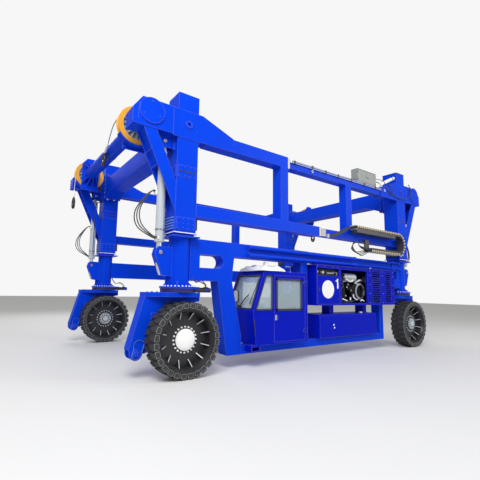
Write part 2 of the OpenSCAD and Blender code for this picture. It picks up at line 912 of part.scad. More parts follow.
rim_flange = 60;
rim_depth = 30;
hub_cover_r = 170;
hub_cover_y = disc_y + 90;
hub_cover_t = 32;
rib_count = 12;
rib_t = 18;

module rim(c) {
    corner(c) color(black)
        translate([0, tyre_shift, tyre_r])
            rotate([-90, 0, 0]) {
                // Barrel, dished disc and hub cover, with a blind bore for the spindle
                rotate_extrude($fn = 72)
                    polygon([[spindle_r + running, disc_y], [rim_r - rim_flange, disc_y + 25],
                             [rim_r - 40, 20],
                             [rim_r, 0], [rim_r, tyre_w], [rim_r - rim_depth, tyre_w - 8],
                             [rim_r - rim_flange + 5, tyre_w - 70], [rim_r - rim_flange, disc_y + 55],
                             [hub_cover_r, hub_cover_y], [hub_cover_r, hub_cover_y + hub_cover_t],
                             [0, hub_cover_y + hub_cover_t], [0, disc_y + spindle_h + 5],
                             [spindle_r + running, disc_y + spindle_h + 5]]);
                for (i = [0 : rib_count - 1])
                    rotate([0, 0, (i + 0.5) * 360 / rib_count])
                        translate([rim_r - rim_flange + 4, -rib_t / 2, disc_y + 50])
                            rotate([0, 90, 90])
                                linear_extrude(height = rib_t)
                                    polygon([[0, -2], [-120, -2], [0, 150]]);
            }
}

lug_h = 26;
lug_w = 90;
lug_len = 150;
tread_r = tyre_r - lug_h;

module tyre(c) {
    corner(c) color(black)
        translate([0, tyre_shift, tyre_r])
            rotate([-90, 0, 0]) {
                rotate_extrude($fn = 96)
                    polygon([[rim_r, 8], [rim_r + rim_flange, 0], [tread_r - 15, 12], [tread_r, 40],
                             [tread_r, tyre_w - 40], [tread_r - 15, tyre_w - 12],
                             [rim_r + rim_flange, tyre_w],
                             [rim_r, tyre_w - 8]]);
                for (i = [0 : lug_count - 1], side = [0, 1])
                    rotate([0, 0, (i + side / 2) * 360 / lug_count])
                        translate([tread_r - 40, -lug_w / 2, side * (tyre_w - lug_len) + 5 - side * 10])
                            cube([lug_h + 38, lug_w, lug_len]);
            }
}

// Lower side beams: outer halves carry the front columns, inner halves the rear ones
beam_y = base_w / 2;
base_wall = 16;
base_gap = 8;
base_grow = base_wall + base_gap;
base_stop = 80;
column_face = half_base - column_r + 40;
inner_base_x = 2650;

// Room that a column takes up, drawn about its axis, for the ends that are cut to fit around it
module column_room() {
    translate([half_base, 0, column_z])
        cylinder(r = column_r + seat, h = mast_top - column_z, $fn = 64);
    block([half_base - head_w / 2 - seat, -head_w / 2 - seat, head_z - eps - seat],
          [half_base + head_w / 2, head_w / 2 + seat, mast_top]);
}

module base_sleeve(z, h) {
    reach = beam_y - base_grow + seat;
    difference() {
        block([base_sleeve_x, -beam_y, z], [column_face, beam_y, z + h]);
        block([base_sleeve_x + base_stop, -beam_y + base_wall, z + base_wall],
              [column_face - base_stop, beam_y - base_wall, z + h - base_wall]);
        column_room();
        block([base_sleeve_x - eps, -reach, z + base_grow - seat],
              [base_sleeve_x + base_stop + eps, reach, z + h - base_grow + seat]);
    }
}

module base_inner(z, h) {
    difference() {
        block([-column_face, -beam_y + base_grow, z + base_grow],
              [inner_base_x, beam_y - base_grow, z + h - base_grow]);
        mirror([1, 0, 0])
            column_room();
    }
}

// Extension cylinder barrels and their rods beside a side beam
reach_front = 2300;
reach_rear = -1400;
reach_len = reach_front - reach_rear;
reach_y = beam_y + 62;
reach_r = 42;
reach_gland = 6;
reach_rod_r = 22;
reach_cap = 40;
reach_lug_x = -half_base + 260;
reach_clip_t = 30;

module reach_barrels(zs) {
    for (z = zs) {
        translate([reach_rear, reach_y, z])
            rotate([0, 90, 0])
                rotate_extrude($fn = 36)
                    polygon([[reach_rod_r + 1, 0], [reach_r + reach_gland, 0], [reach_r + reach_gland, 60],
                             [reach_r, 66],
                             [reach_r, reach_len], [0, reach_len], [0, reach_len - reach_cap],
                             [reach_rod_r + 8, reach_len - reach_cap], [reach_rod_r + 8, reach_cap],
                             [reach_rod_r + 1, reach_cap]]);
        for (x = [reach_front - 2 * reach_clip_t, base_sleeve_x + 20])
            block([x, beam_y - eps, z - reach_r - 14],
                  [x + reach_clip_t, reach_y - reach_r + 6, z + reach_r + 14]);
    }
}

module reach_rods(zs) {
    for (z = zs) {
        translate([reach_lug_x, reach_y, z])
            rotate([0, 90, 0])
                cylinder(r = reach_rod_r, h = reach_front - 90 - reach_lug_x, $fn = 36);
        block([reach_lug_x - 30, 0, z - reach_cap], [reach_lug_x + 10, reach_y + 30, z + reach_cap]);
    }
}

left_zs = [left_beam_z + 60, left_beam_z + left_beam_h - 60];
right_zs = [right_beam_z + 120, right_beam_z + right_beam_h - 120];

end_low_z = 1735;
end_len = 820;
window_z = 1985;
window_front = half_base - 380;
window_r = (left_beam_z - window_z) / 2;
window_rear = half_base - 945 + window_r;
leg_head = 1210;
sill_in = 20;
sill_front = cab_front + 130;
sill_rear = -half_base + 1090;
sill_leg_w = 170;
door_post_x = 420;
door_post_w = 220;

// End frame beside the column and the sloping leg down to the sill, with the window through both
module left_leg() {
    leg_top = left_beam_z + eps;
    difference() {
        union() {
            block([half_base - end_len, -beam_y, end_low_z], [column_face, beam_y, leg_top]);
            side_plate([[half_base - end_len + eps, leg_top], [half_base - end_len + eps, end_low_z + eps],
                        [sill_front + 375, sill_z + 75], [sill_front + 340, sill_z], [sill_front, sill_z],
                        [sill_front, sill_z + 375], [half_base - leg_head + 60, end_low_z + 45],
                        [half_base - leg_head, leg_top]], -beam_y, beam_y);
        }
        block([window_rear, -beam_y - eps, window_z], [window_front, beam_y + eps, leg_top + eps]);
        cross_pin(window_rear, window_z + window_r, window_r, -beam_y - eps, beam_y + eps);
        column_room();
    }
}

// Sill under the cab and the tank, with its two posts
module left_sill() {
    sill_top = sill_z + sill_h;
    y = beam_y - sill_in;
    block([sill_rear, -y, sill_z], [sill_front + eps, y, sill_top]);
    block([door_post_x, -y, sill_top - eps], [door_post_x + door_post_w, y, left_beam_z + eps]);
    block([sill_rear, -y, sill_top - eps], [sill_rear + sill_leg_w, y, pack_z]);
}

module left_front_beam() {
    color(blue)
        placed()
            translate([0, half_track, 0]) {
                base_sleeve(left_beam_z, left_beam_h);
                reach_barrels(left_zs);
                left_leg();
                left_sill();
            }
}

rear_end_len = 550;
rear_window = [290, 450];

module left_rear_beam() {
    color(blue)
        placed()
            translate([0, half_track, 0]) {
                base_inner(left_beam_z, left_beam_h);
                reach_rods(left_zs);
                difference() {
                    block([-column_face, -beam_y, end_low_z],
                          [-half_base + rear_end_len, beam_y, left_beam_z + left_beam_h]);
                    block([-half_base + rear_window[0], -beam_y - eps, window_z],
                          [-half_base + rear_window[1], beam_y + eps, left_beam_z - 30]);
                    mirror([1, 0, 0])
                        column_room();
                }
            }
}

right_end_len = 490;
right_end_h = 60;

module right_front_beam() {
    color(blue)
        placed()
            mirror([0, 1, 0])
                translate([0, half_track, 0]) {
                    base_sleeve(right_beam_z, right_beam_h);
                    reach_barrels(right_zs);
                }
}

module right_rear_beam() {
    color(blue)
        placed()
            mirror([0, 1, 0])
                translate([0, half_track, 0]) {
                    base_inner(right_beam_z, right_beam_h);
                    reach_rods(right_zs);
                    difference() {
                        block([-column_face, -beam_y, right_beam_z - right_end_h],
                              [-half_base + right_end_len, beam_y,
                               right_beam_z + right_beam_h + right_end_h]);
                        mirror([1, 0, 0])
                            column_room();
                    }
                }
}

// Cab
cab_toe = 85;
door_front = cab_front - 585;
door_rear = cab_rear + 75;
door_low = cab_z + 40;
door_high = cab_z + 1455;
door_gap = 6;
pane = 8;
cab_top = cab_z + cab_h;
belt_z = sash_z - 20;
quarter_rear = cab_front - 520;
quarter_top = cab_top - 105;
quarter = [[quarter_rear, sash_z], [cab_front - 78, sash_z], [cab_front - 354, quarter_top],
           [quarter_rear, quarter_top]];

function cab_outline(inset) = [
    [cab_rear + inset, cab_z + inset], [cab_front - cab_toe - inset, cab_z + inset],
    [cab_front - inset, belt_z],
    [cab_front - rake - inset, cab_top - inset], [cab_rear + inset, cab_top - inset]
];

module cab_shell() {
    difference() {
        side_plate(cab_outline(0), cab_in, cab_out);
        side_plate(cab_outline(cab_wall), cab_in + cab_wall, cab_out - cab_wall);
    }
}

screen_side = 70;
screen_low = sash_z + 10;
screen_high = cab_top - 90;
side_window = [300, 1200];
rear_window_in = [120, 200];

module cab_windows(extra) {
    // Windscreen
    translate([cab_front - rake / 2, 0, 0])
        block([-rake, cab_in + screen_side, screen_low], [rake, cab_out - screen_side, screen_high]);
    // Inner side and rear windows
    block([cab_rear + side_window[0], cab_in - extra, sash_z],
          [cab_rear + side_window[1], cab_in + cab_wall + extra, quarter_top]);
    block([cab_rear - extra, cab_in + rear_window_in[0], sash_z],
          [cab_rear + cab_wall + extra, cab_out - rear_window_in[1], quarter_top]);
    // Quarter window
    side_plate(quarter, cab_out - cab_wall - extra, cab_out + extra);
}

step_len = 180;
step_h = 130;
step_frame = 25;
hanger_x = [200, 1450];

module cab_body() {
    step_rear = cab_front - cab_toe - step_len + 60;
    color(blue)
        placed() {
            difference() {
                cab_shell();
                cab_windows(2);
                block([door_rear, cab_out - cab_wall - 2, door_low], [door_front, cab_out + 2, door_high]);
            }
            for (z = cab_hinge_z)
                hinge_fixed(cab_hinge[0], cab_hinge[1], z);
            // Step below the front corner
            difference() {
                block([step_rear, half_track + beam_y + 10, cab_z - step_h],
                      [step_rear + step_len + 60, cab_out, cab_z + 10]);
                block([step_rear + step_frame, half_track + beam_y + 10 + step_frame,
                       cab_z - step_h + step_frame],
                      [step_rear + step_len + 60 - step_frame, cab_out + eps, cab_z - step_frame]);
            }
            // Hanger between the cab's floor and the sill
            block([cab_rear + hanger_x[0], half_track - beam_y + sill_in, sill_z + sill_h],
                  [cab_rear + hanger_x[1], half_track + beam_y - sill_in, cab_z + eps]);
        }
}

module cab_glass() {
    mid = cab_wall / 2;
    color([0.6, 0.75, 0.8, 0.4])
        placed()
            intersection() {
                difference() {
                    side_plate(cab_outline(mid - pane / 2), cab_in + mid - pane / 2,
                               cab_out - mid + pane / 2);
                    side_plate(cab_outline(mid + pane / 2), cab_in + mid + pane / 2,
                               cab_out - mid - pane / 2);
                }
                cab_windows(2);
            }
}

module door_panel() {
    block([door_rear + door_gap, cab_out - cab_wall, door_low + door_gap],
          [door_front - door_gap, cab_out, door_high - door_gap]);
}

sash_front = door_front - 75;
sash_rear = door_rear + 115;
sash_high = door_high - 85;

// Door hinges: a pin in the fixed leaf between two eyes, and the door's eye around it
hinge_r = 16;
hinge_pin_r = 8;
hinge_h = 60;
hinge_leaf = 60;

module hinge_fixed(x, y, z) {
    translate([x, y, z - hinge_h])
        cylinder(r = hinge_pin_r, h = 2 * hinge_h, $fn = 24);
    for (low = [z - hinge_h, z + hinge_h / 2 + seat]) {
        translate([x, y, low])
            cylinder(r = hinge_r, h = hinge_h / 2 - seat, $fn = 32);
        block([x - hinge_leaf, y - hinge_r - eps, low], [x, y - hinge_r / 2, low + hinge_h / 2 - seat]);
    }
}

module hinge_moving(x, y, z) {
    difference() {
        union() {
            translate([x, y, z - hinge_h / 2])
                cylinder(r = hinge_r, h = hinge_h, $fn = 32);
            block([x, y - hinge_r - eps, z - hinge_h / 2],
                  [x + hinge_leaf, y - hinge_r / 2, z + hinge_h / 2]);
        }
        translate([x, y, z - hinge_h])
            cylinder(r = hinge_pin_r + running, h = 2 * hinge_h, $fn = 24);
    }
}

cab_hinge = [door_rear + door_gap / 2, cab_out + hinge_r];
cab_hinge_z = [door_low + 200, door_high - 160];
handle_z = 1000;
handle_w = 30;
handle_h = 80;
handle_out = 40;

module cab_door() {
    color(blue)
        placed() {
            difference() {
                door_panel();
                block([sash_rear, cab_out - cab_wall - eps, sash_z], [sash_front, cab_out + eps, sash_high]);
            }
            for (z = cab_hinge_z)
                hinge_moving(cab_hinge[0], cab_hinge[1], z);
            // Handle bar on its two feet
            for (z = [handle_z - handle_h / 2, handle_z + handle_h / 2 - 14])
                block([sash_front - handle_w / 2, cab_out - eps, z],
                      [sash_front + handle_w / 2, cab_out + handle_out, z + 14]);
            block([sash_front - handle_w / 2, cab_out + handle_out - 14, handle_z - handle_h / 2],
                  [sash_front + handle_w / 2, cab_out + handle_out, handle_z + handle_h / 2]);
        }
}

module door_glass() {
    mid = cab_out - cab_wall / 2;
    color([0.6, 0.75, 0.8, 0.4])
        placed()
            block([sash_rear, mid - pane / 2, sash_z], [sash_front, mid + pane / 2, sash_high]);
}

// Low cover on the cab roof, with the beacon
cover_rear = cab_front - 960;
cover_front = cab_front + 140;
cover_side = 60;
cover_low_h = 60;
cover_h = 145;
cover_slope = 110;
beacon_r = 45;
beacon_h = 70;
beacon_x = cab_front - 390;

module cab_roof() {
    color(white)
        placed()
            translate([0, 0, cab_top])
                hull() {
                    block([cover_rear, cab_in + cover_side, 0], [cover_front, cab_out + 20, cover_low_h]);
                    block([cover_rear + cover_slope, cab_in + cover_side + cover_slope, cover_low_h],
                          [cover_front - cover_slope, cab_out + 20 - cover_slope, cover_h]);
                }
    color(yellow)
        placed()
            translate([beacon_x, cab_out - 250, cab_top + cover_h - eps])
                cylinder(r = beacon_r, h = beacon_h, $fn = 32);
}

// Seat on its pedestal, console and steering wheel
seat_rear = cab_rear + 280;
seat_len = 480;
seat_w = 480;
seat_h = 280;
cushion_h = 120;
back_h = 600;
back_t = 110;
console_x = cab_rear + 1200;
console_len = 200;
console_w = 520;
console_h = 620;
wheel_r = 190;
wheel_t = 30;
wheel_stem = 150;

module cab_interior() {
    floor_z = cab_z + cab_wall;
    cushion_z = floor_z + seat_h - eps;
    mid = (cab_in + cab_out) / 2;
    color(black)
        placed() {
            block([seat_rear + 70, mid - seat_w / 3, floor_z],
                  [seat_rear + 370, mid + seat_w / 3, floor_z + seat_h]);
            block([seat_rear, mid - seat_w / 2, cushion_z],
                  [seat_rear + seat_len, mid + seat_w / 2, cushion_z + cushion_h]);
            block([seat_rear - back_t + 30, mid - seat_w / 2 + 10, cushion_z + cushion_h - 20],
                  [seat_rear + 30, mid + seat_w / 2 - 10, cushion_z + cushion_h + back_h]);
            block([console_x, mid - console_w / 2, floor_z],
                  [console_x + console_len, mid + console_w / 2, floor_z + console_h]);
            translate([console_x - 10, mid, floor_z + console_h - 20])
                rotate([0, -35, 0]) {
                    cylinder(r = 22, h = wheel_stem + 10, $fn = 24);
                    translate([0, 0, wheel_stem])
                        cylinder(r = wheel_r, h = wheel_t, $fn = 48);
                }
        }
}

// Power pack
pack_rear = pack_front - pack_len;
pack_top = pack_z + pack_h;
pack_wall = 50;
pack_roof_t = 22;
pack_eave = 60;
pack_side_eave = 18;
opening_top = pack_top - 60;
bay_front_in = 925;
bay_rear_in = 2060;
pd_front_in = 30;
pd_rear_in = 867;
louvre_in = [[2290, 2670], [2920, 3220]];
foot_in = [850, 2260];
bay_front = pack_front - bay_front_in;
bay_rear = pack_front - bay_rear_in;
pd_front = pack_front - pd_front_in;
pd_rear = pack_front - pd_rear_in;
pd_low = pack_z + 30;
pd_high = pack_z + 725;
pd_t = 38;
pd_hinge = [pd_rear + door_gap / 2, pack_out + hinge_r];
pd_hinge_z = [pd_low + 130, pd_high - 130];
louvre_x = [for (x = louvre_in) [pack_front - x[0], pack_front - x[1]]];
slat_t = 10;
foot_x = [for (x = foot_in) pack_front - x];
foot_w = 140;
tank_front = pack_front - 190;
tank_len = 2345;
tank_in = 2100;
tank_out = 2720;
tank_top = 1020;
tank_edge = 30;

module power_frame() {
    color(blue)
        placed() {
            difference() {
                union() {
                    block([pack_rear, pack_in, pack_z], [pack_front, pack_out, pack_top]);
                    block([pack_rear - pack_side_eave, pack_in - pack_side_eave, pack_top - eps],
                          [pack_front + pack_eave, pack_out + pack_side_eave, pack_top + pack_roof_t]);
                }
                block([pack_rear + pack_wall, pack_in + pack_wall, pack_z + pack_wall],
                      [pack_front - pack_wall, pack_out - pack_wall, pack_top - pack_wall]);
                block([bay_rear, pack_out - pack_wall - eps, pack_z + pack_wall],
                      [bay_front, pack_out + eps, opening_top]);
                block([pd_rear, pack_out - pack_wall - eps, pd_low], [pd_front, pack_out + eps, opening_top]);
                for (x = louvre_x)
                    block([x[1], pack_out - pack_wall - eps, pack_z + pack_wall],
                          [x[0], pack_out + eps, opening_top]);
            }
            // Louvres
            for (x = louvre_x, i = [0 : slat_count - 1])
                translate([0, pack_out - pack_wall / 2,
                           pack_z + pack_wall + (i + 0.5) * (opening_top - pack_z - pack_wall) / slat_count])
                    rotate([-35, 0, 0])
                        block([x[1] - eps, -pack_wall / 2, -slat_t / 2],
                              [x[0] + eps, pack_wall / 2, slat_t / 2]);
            for (z = pd_hinge_z)
                hinge_fixed(pd_hinge[0], pd_hinge[1], z);
            // Feet on the tank
            for (x = foot_x)
                block([x, half_track - beam_y + sill_in, tank_top],
                      [x + foot_w, half_track + beam_y - sill_in, pack_z + eps]);
        }
}

module power_door() {
    color(blue)
        placed() {
            block([pd_rear + door_gap, pack_out - pd_t, pd_low + door_gap],
                  [pd_front - door_gap, pack_out, pd_high]);
            for (z = pd_hinge_z)
                hinge_moving(pd_hinge[0], pd_hinge[1], z);
        }
}

// Engine in the open bay: crankcase, cylinder heads, manifold, air filter, pulleys and radiator
engine_z = pack_z + pack_wall;
engine_rear = bay_rear + 100;
engine_front = bay_front - 90;
engine_in = pack_in + 120;
engine_out = pack_out - 330;
crank_h = 330;
head_h = 130;
head_count = 6;
head_pitch = (engine_front - engine_rear) / head_count;
manifold_r = 42;
filter_r = 110;
filter_up = 560;
filter_back = 260;
filter_len = 480;
filter_leg_in = [300, 640];
filter_z = engine_z + filter_up;
filter_y = engine_out + 130;
cooler_gap = 200;
cooler_in = 160;
cooler_h = 730;
pulley_r = [185, 120, 80];
pulley_x = [engine_rear + 220, engine_front - 130, engine_front - 380];
pulley_z = [engine_z + 300, engine_z + 230, engine_z + 420];

module engine() {
    color(black)
        placed() {
            block([engine_rear, engine_in, engine_z], [engine_front, engine_out, engine_z + crank_h]);
            for (i = [0 : head_count - 1]) {
                x = engine_rear + i * head_pitch;
                block([x + 8, engine_in + 60, engine_z + crank_h - eps],
                      [x + head_pitch - 8, engine_out - 20, engine_z + crank_h + head_h]);
                translate([x + head_pitch / 2, engine_in + 150, engine_z + crank_h + head_h - eps])
                    cylinder(r = head_pitch / 2 - 20, h = 50, $fn = 32);
                cross_pin(x + head_pitch / 2, engine_z + crank_h + 60, 24, engine_out - 21, engine_out + 40);
            }
            translate([engine_rear + 20, engine_out + 40, engine_z + crank_h + 60])
                rotate([0, 90, 0])
                    cylinder(r = manifold_r, h = engine_front - engine_rear - 40, $fn = 32);
            // Round drives that face outwards
            for (i = [0 : len(pulley_r) - 1]) {
                cross_pin(pulley_x[i], pulley_z[i], pulley_r[i] - 60, engine_out - eps, engine_out + 130);
                cross_pin(pulley_x[i], pulley_z[i], pulley_r[i], engine_out + 110, engine_out + 200);
            }
        }
    color(steel)
        placed() {
            // Air filter on its two legs
            translate([engine_rear + filter_back, filter_y, filter_z + filter_r])
                rotate([0, 90, 0])
                    cylinder(r = filter_r, h = filter_len, $fn = 48);
            for (x = filter_leg_in)
                block([engine_rear + x, filter_y - filter_r + 20, engine_z + crank_h + 40],
                      [engine_rear + x + 50, filter_y - 20, filter_z + 60]);
        }
    color(black)
        placed()
            block([pack_rear + pack_wall, pack_in + 60, engine_z],
                  [bay_rear - cooler_gap, pack_out - cooler_in, engine_z + cooler_h]);
}

module tank() {
    low = sill_z + sill_h;
    color(blue)
        placed()
            translate([tank_front - tank_len, 0, 0])
                rotate([90, 0, 90])
                    linear_extrude(height = tank_len)
                        polygon([[tank_in, low], [tank_out - tank_edge, low], [tank_out, low + tank_edge],
                                 [tank_out, tank_top - tank_edge], [tank_out - tank_edge, tank_top],
                                 [tank_in, tank_top]]);
}

column(FL);  // column_fl
column(FR);  // column_fr
column(RL);  // column_rl
column(RR);  // column_rr
knuckle(FL);  // knuckle_fl
knuckle(FR);  // knuckle_fr
knuckle(RL);  // knuckle_rl
knuckle(RR);  // knuckle_rr
rim(FL);  // rim_fl
rim(FR);  // rim_fr
rim(RL);  // rim_rl
rim(RR);  // rim_rr
tyre(FL);  // tyre_fl
tyre(FR);  // tyre_fr
tyre(RL);  // tyre_rl
tyre(RR);  // tyre_rr
posts(true);  // front_posts
front_side_frames();
cross_members(true);  // front_cross_members
barrels(true);  // front_barrels
slide_pads();
sheave(FL);  // sheave_fl
sheave(FR);  // sheave_fr
posts(false);  // rear_posts
rear_side_frames();
cross_members(false);  // rear_cross_members
barrels(false);  // rear_barrels
energy_chain();
electric_box();
sheave(RL);  // sheave_rl
sheave(RR);  // sheave_rr
left_front_beam();
left_rear_beam();
right_front_beam();
right_rear_beam();
cab_body();
cab_roof();
cab_glass();
cab_interior();
cab_door();
door_glass();
power_frame();
power_door();
engine();
tank();
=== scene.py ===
"""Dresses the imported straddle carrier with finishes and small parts, and sets studio and camera."""

import logging
import math
from collections.abc import Callable
from dataclasses import dataclass, field, replace
from enum import Enum

import bmesh
import bpy
from mathutils import Matrix, Vector


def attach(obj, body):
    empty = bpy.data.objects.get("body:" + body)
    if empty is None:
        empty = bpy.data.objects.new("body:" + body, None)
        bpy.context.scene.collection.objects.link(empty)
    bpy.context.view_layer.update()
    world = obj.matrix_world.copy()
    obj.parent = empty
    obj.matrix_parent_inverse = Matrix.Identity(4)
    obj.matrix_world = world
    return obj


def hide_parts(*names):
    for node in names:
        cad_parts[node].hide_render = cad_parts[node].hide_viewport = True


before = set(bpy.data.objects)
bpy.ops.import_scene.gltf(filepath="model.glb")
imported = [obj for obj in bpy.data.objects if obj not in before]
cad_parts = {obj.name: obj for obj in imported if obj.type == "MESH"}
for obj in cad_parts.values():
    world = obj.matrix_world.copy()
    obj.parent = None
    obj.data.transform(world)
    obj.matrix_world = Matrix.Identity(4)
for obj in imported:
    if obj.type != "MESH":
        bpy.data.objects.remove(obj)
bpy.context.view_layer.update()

LOG = logging.getLogger("straddle_carrier")

Point = tuple[float, float, float]
Colour = tuple[float, float, float]
Section = list[tuple[float, float]]

# Driving dimensions of the machine, in metres
HALF_BASE = 3.85
HALF_TRACK = 2.475
TYRE_SHIFT = 0.106
TYRE_WIDTH = 0.38
TYRE_RADIUS = 0.67
COVER_REACH = 0.262
CENTRE_Y = (COVER_REACH - TYRE_SHIFT - TYRE_WIDTH) / 2
# Sheave axis and lift cylinder axis, counted outwards from a post axis, and the sheave axis' height
SHEAVE_X = 0.77
SHEAVE_Z = 4.8
LIFT_X = 0.42
# Radius at which a turned form closes on its own axis
TIP = 0.0005
# Angles between faces from which an edge is drawn sharp, and from which it is rounded
SHARP_FROM = math.radians(32)
ROUNDED_FROM = math.radians(40)

AXIS_X = (1, 0, 0)
AXIS_Y = (0, 1, 0)
AXIS_Z = (0, 0, 1)


class Corner(Enum):
    """The four legs, each with the sign of its X and of its Y."""

    FL = ("fl", 1, 1)
    FR = ("fr", 1, -1)
    RL = ("rl", -1, 1)
    RR = ("rr", -1, -1)

    @property
    def tag(self) -> str:
        """Ending of the node names at this corner."""
        return self.value[0]

    @property
    def side_x(self) -> int:
        """1 at the front and -1 at the rear."""
        return self.value[1]

    @property
    def side_y(self) -> int:
        """1 on the left and -1 on the right."""
        return self.value[2]

    @property
    def chassis(self) -> str:
        """Body that carries this corner's column."""
        return ("left_" if self.side_y > 0 else "right_") + ("front" if self.side_x > 0 else "rear")

    @property
    def frame(self) -> str:
        """Body that carries this corner's post."""
        return "front_frame" if self.side_x > 0 else "rear_frame"

    def post(self, point: Point) -> Point:
        """Places a point counted from the post axis, outwards both along and across the machine."""
        x, y, z = point
        return (self.side_x * (HALF_BASE + x), CENTRE_Y + self.side_y * (HALF_TRACK + y), z)

    def leg(self, point: Point) -> Point:
        """Places a point counted from the post axis, outwards along the machine and towards its left."""
        x, y, z = point
        return (self.side_x * (HALF_BASE + x), CENTRE_Y + self.side_y * HALF_TRACK + y, z)

    def quarter(self, point: Point) -> Point:
        """Places a point drawn on the left front quarter of the machine."""
        x, y, z = point
        return (self.side_x * x, CENTRE_Y + self.side_y * y, z)


class Graph:
    """The node tree of a material or of the world, with short calls for what every tree repeats."""

    def __init__(self, tree: bpy.types.NodeTree) -> None:
        """Opens a node tree."""
        self.tree = tree

    @classmethod
    def start(cls, name: str) -> "Graph":
        """Makes a new material and opens its node tree.

        Args:
            name: The material's name.

        Returns:
            The open tree.
        """
        made = bpy.data.materials.new(name)
        made.use_nodes = True
        return cls(made.node_tree)

    @property
    def shader(self) -> bpy.types.Node:
        """The main shader of a material."""
        return self.tree.nodes["Principled BSDF"]

    def feed(self, node: bpy.types.Node, values: dict[str | int, object]) -> bpy.types.Node:
        """Sets inputs of a node to constants, or links them to the sockets given.

        Args:
            node: The node.
            values: Constant or socket for each input, by its name or number.

        Returns:
            The node.
        """
        for key, value in values.items():
            if isinstance(value, bpy.types.NodeSocket):
                self.tree.links.new(value, node.inputs[key])
            else:
                node.inputs[key].default_value = value
        return node

    def add(self, kind: str, values: dict[str | int, object], operation: str = "") -> bpy.types.Node:
        """Adds a node.

        Args:
            kind: Blender's name of the node type, after "ShaderNode".
            values: Constant or socket for each input.
            operation: What a math node does, or nothing.

        Returns:
            The node.
        """
        node = self.tree.nodes.new("ShaderNode" + kind)
        if operation:
            node.operation = operation
        return self.feed(node, values)

    def mixed(self, share: bpy.types.NodeSocket, first: object, second: Colour) -> bpy.types.NodeSocket:
        """Mixes a colour or a socket with a second colour.

        Args:
            share: How much of the second colour shows.
            first: Colour or socket that shows otherwise.
            second: The second colour.

        Returns:
            The mixed colour.
        """
        node = self.tree.nodes.new("ShaderNodeMix")
        node.data_type = "RGBA"
        self.feed(node, {"A": first, "B": (*second, 1), "Factor": share})
        return node.outputs["Result"]

    def noise(self, scale: float, detail: float = 2.0) -> bpy.types.NodeSocket:
        """Adds noise that stays with the object, and gives its value from 0 to 1."""
        place = self.add("TexCoord", {}).outputs["Object"]
        return self.add("TexNoise", {"Scale": scale, "Detail": detail, "Vector": place}).outputs["Fac"]

    def ranged(self, value: bpy.types.NodeSocket, **limits: float) -> bpy.types.NodeSocket:
        """Maps a value from one range to another; from_min is the socket "From Min", and so on."""
        named = {key.replace("_", " ").title(): limit for key, limit in limits.items()}
        return self.add("MapRange", {**named, "Value": value}).outputs["Result"]


@dataclass(frozen=True)
class Finish:
    """A painted, moulded or bare surface, made of procedural nodes.

    Attributes:
        name: The material's name.
        slot: The record's material slot that it belongs to, unless a piece says otherwise.
        colour: Linear base colour.
        roughness: Mean roughness.
        metallic: 1 for bare metal.
        coat: Weight of a clear coat.
        gloss: Specular level of the surface under the coat.
        cloud: How far broad patches darken the colour.
        grain: Depth of the fine bump.
        grain_scale: Grains along a metre.
        dust: How much pale dust lies on what faces up.
        edge: How strongly the edges are painted pale, as a painted highlight.
    """

    name: str
    slot: str
    colour: Colour
    roughness: float = 0.4
    metallic: float = 0.0
    coat: float = 0.0
    gloss: float = 0.5
    cloud: float = 0.12
    grain: float = 0.02
    grain_scale: float = 60.0
    dust: float = 0.0
    edge: float = 0.0

    def material(self) -> bpy.types.Material:
        """Builds the material once and returns it."""
        return bpy.data.materials.get(self.name) or self._made()

    def _made(self) -> bpy.types.Material:
        """Builds the material.

        Returns:
            The material.
        """
        graph = Graph.start(self.name)
        broad, fine = graph.noise(1.7, 6.0), graph.noise(self.grain_scale, 3.0)
        dark = (*(c * (1 - self.cloud) for c in self.colour), 1)
        pale = tuple(min(c * (1 + self.cloud), 1) for c in self.colour)
        colour = graph.mixed(broad, dark, pale)
        # Painted highlight along the edges
        if self.edge:
            colour = self._painted_edge_highlight(graph, colour)
        if self.dust:
            colour = self._dusted(graph, colour, fine)
        rough = graph.ranged(broad, to_min=max(self.roughness - 0.08, 0.02),
                             to_max=min(self.roughness + 0.1, 1.0))
        bump = graph.add("Bump", {"Strength": 0.35, "Distance": self.grain, "Height": fine})
        graph.feed(graph.shader, {
            "Metallic": self.metallic, "Coat Weight": self.coat, "Coat Roughness": 0.12,
            "Specular IOR Level": self.gloss, "Base Color": colour, "Roughness": rough,
            "Normal": bump.outputs["Normal"]})
        return bpy.data.materials[self.name]

    def _painted_edge_highlight(self, graph: Graph, colour: bpy.types.NodeSocket) -> bpy.types.NodeSocket:
        """Paints a highlight: lightens the colour where a rounded normal leaves the flat one.

        Args:
            graph: The material's nodes.
            colour: The colour so far.

        Returns:
            The colour with painted highlights on its edges.
        """
        round_off = graph.add("Bevel", {"Radius": 0.012})
        round_off.samples = 4
        flat = graph.add("NewGeometry", {}).outputs["Normal"]
        match = graph.add("VectorMath", {0: round_off.outputs["Normal"], 1: flat}, "DOT_PRODUCT")
        highlight_mask = graph.ranged(match.outputs["Value"], from_min=1.0, from_max=0.85, to_max=self.edge)
        # The paler copy of the colour is the painted highlight
        return graph.mixed(highlight_mask, colour, tuple(0.35 + 0.65 * c for c in self.colour))

    def _dusted(self, graph: Graph, colour: bpy.types.NodeSocket,
                grain: bpy.types.NodeSocket) -> bpy.types.NodeSocket:
        """Lays thin dust on what faces up.

        Args:
            graph: The material's nodes.
            colour: The colour so far.
            grain: Fine noise that breaks the dust up.

        Returns:
            The dusty colour.
        """
        flat = graph.add("NewGeometry", {}).outputs["Normal"]
        up = graph.ranged(graph.add("SeparateXYZ", {"Vector": flat}).outputs["Z"], from_min=0.4,
                          to_max=self.dust)
        broken = graph.add("Math", {0: up, 1: grain}, "MULTIPLY").outputs["Value"]
        return graph.mixed(broken, colour, (0.42, 0.4, 0.37))


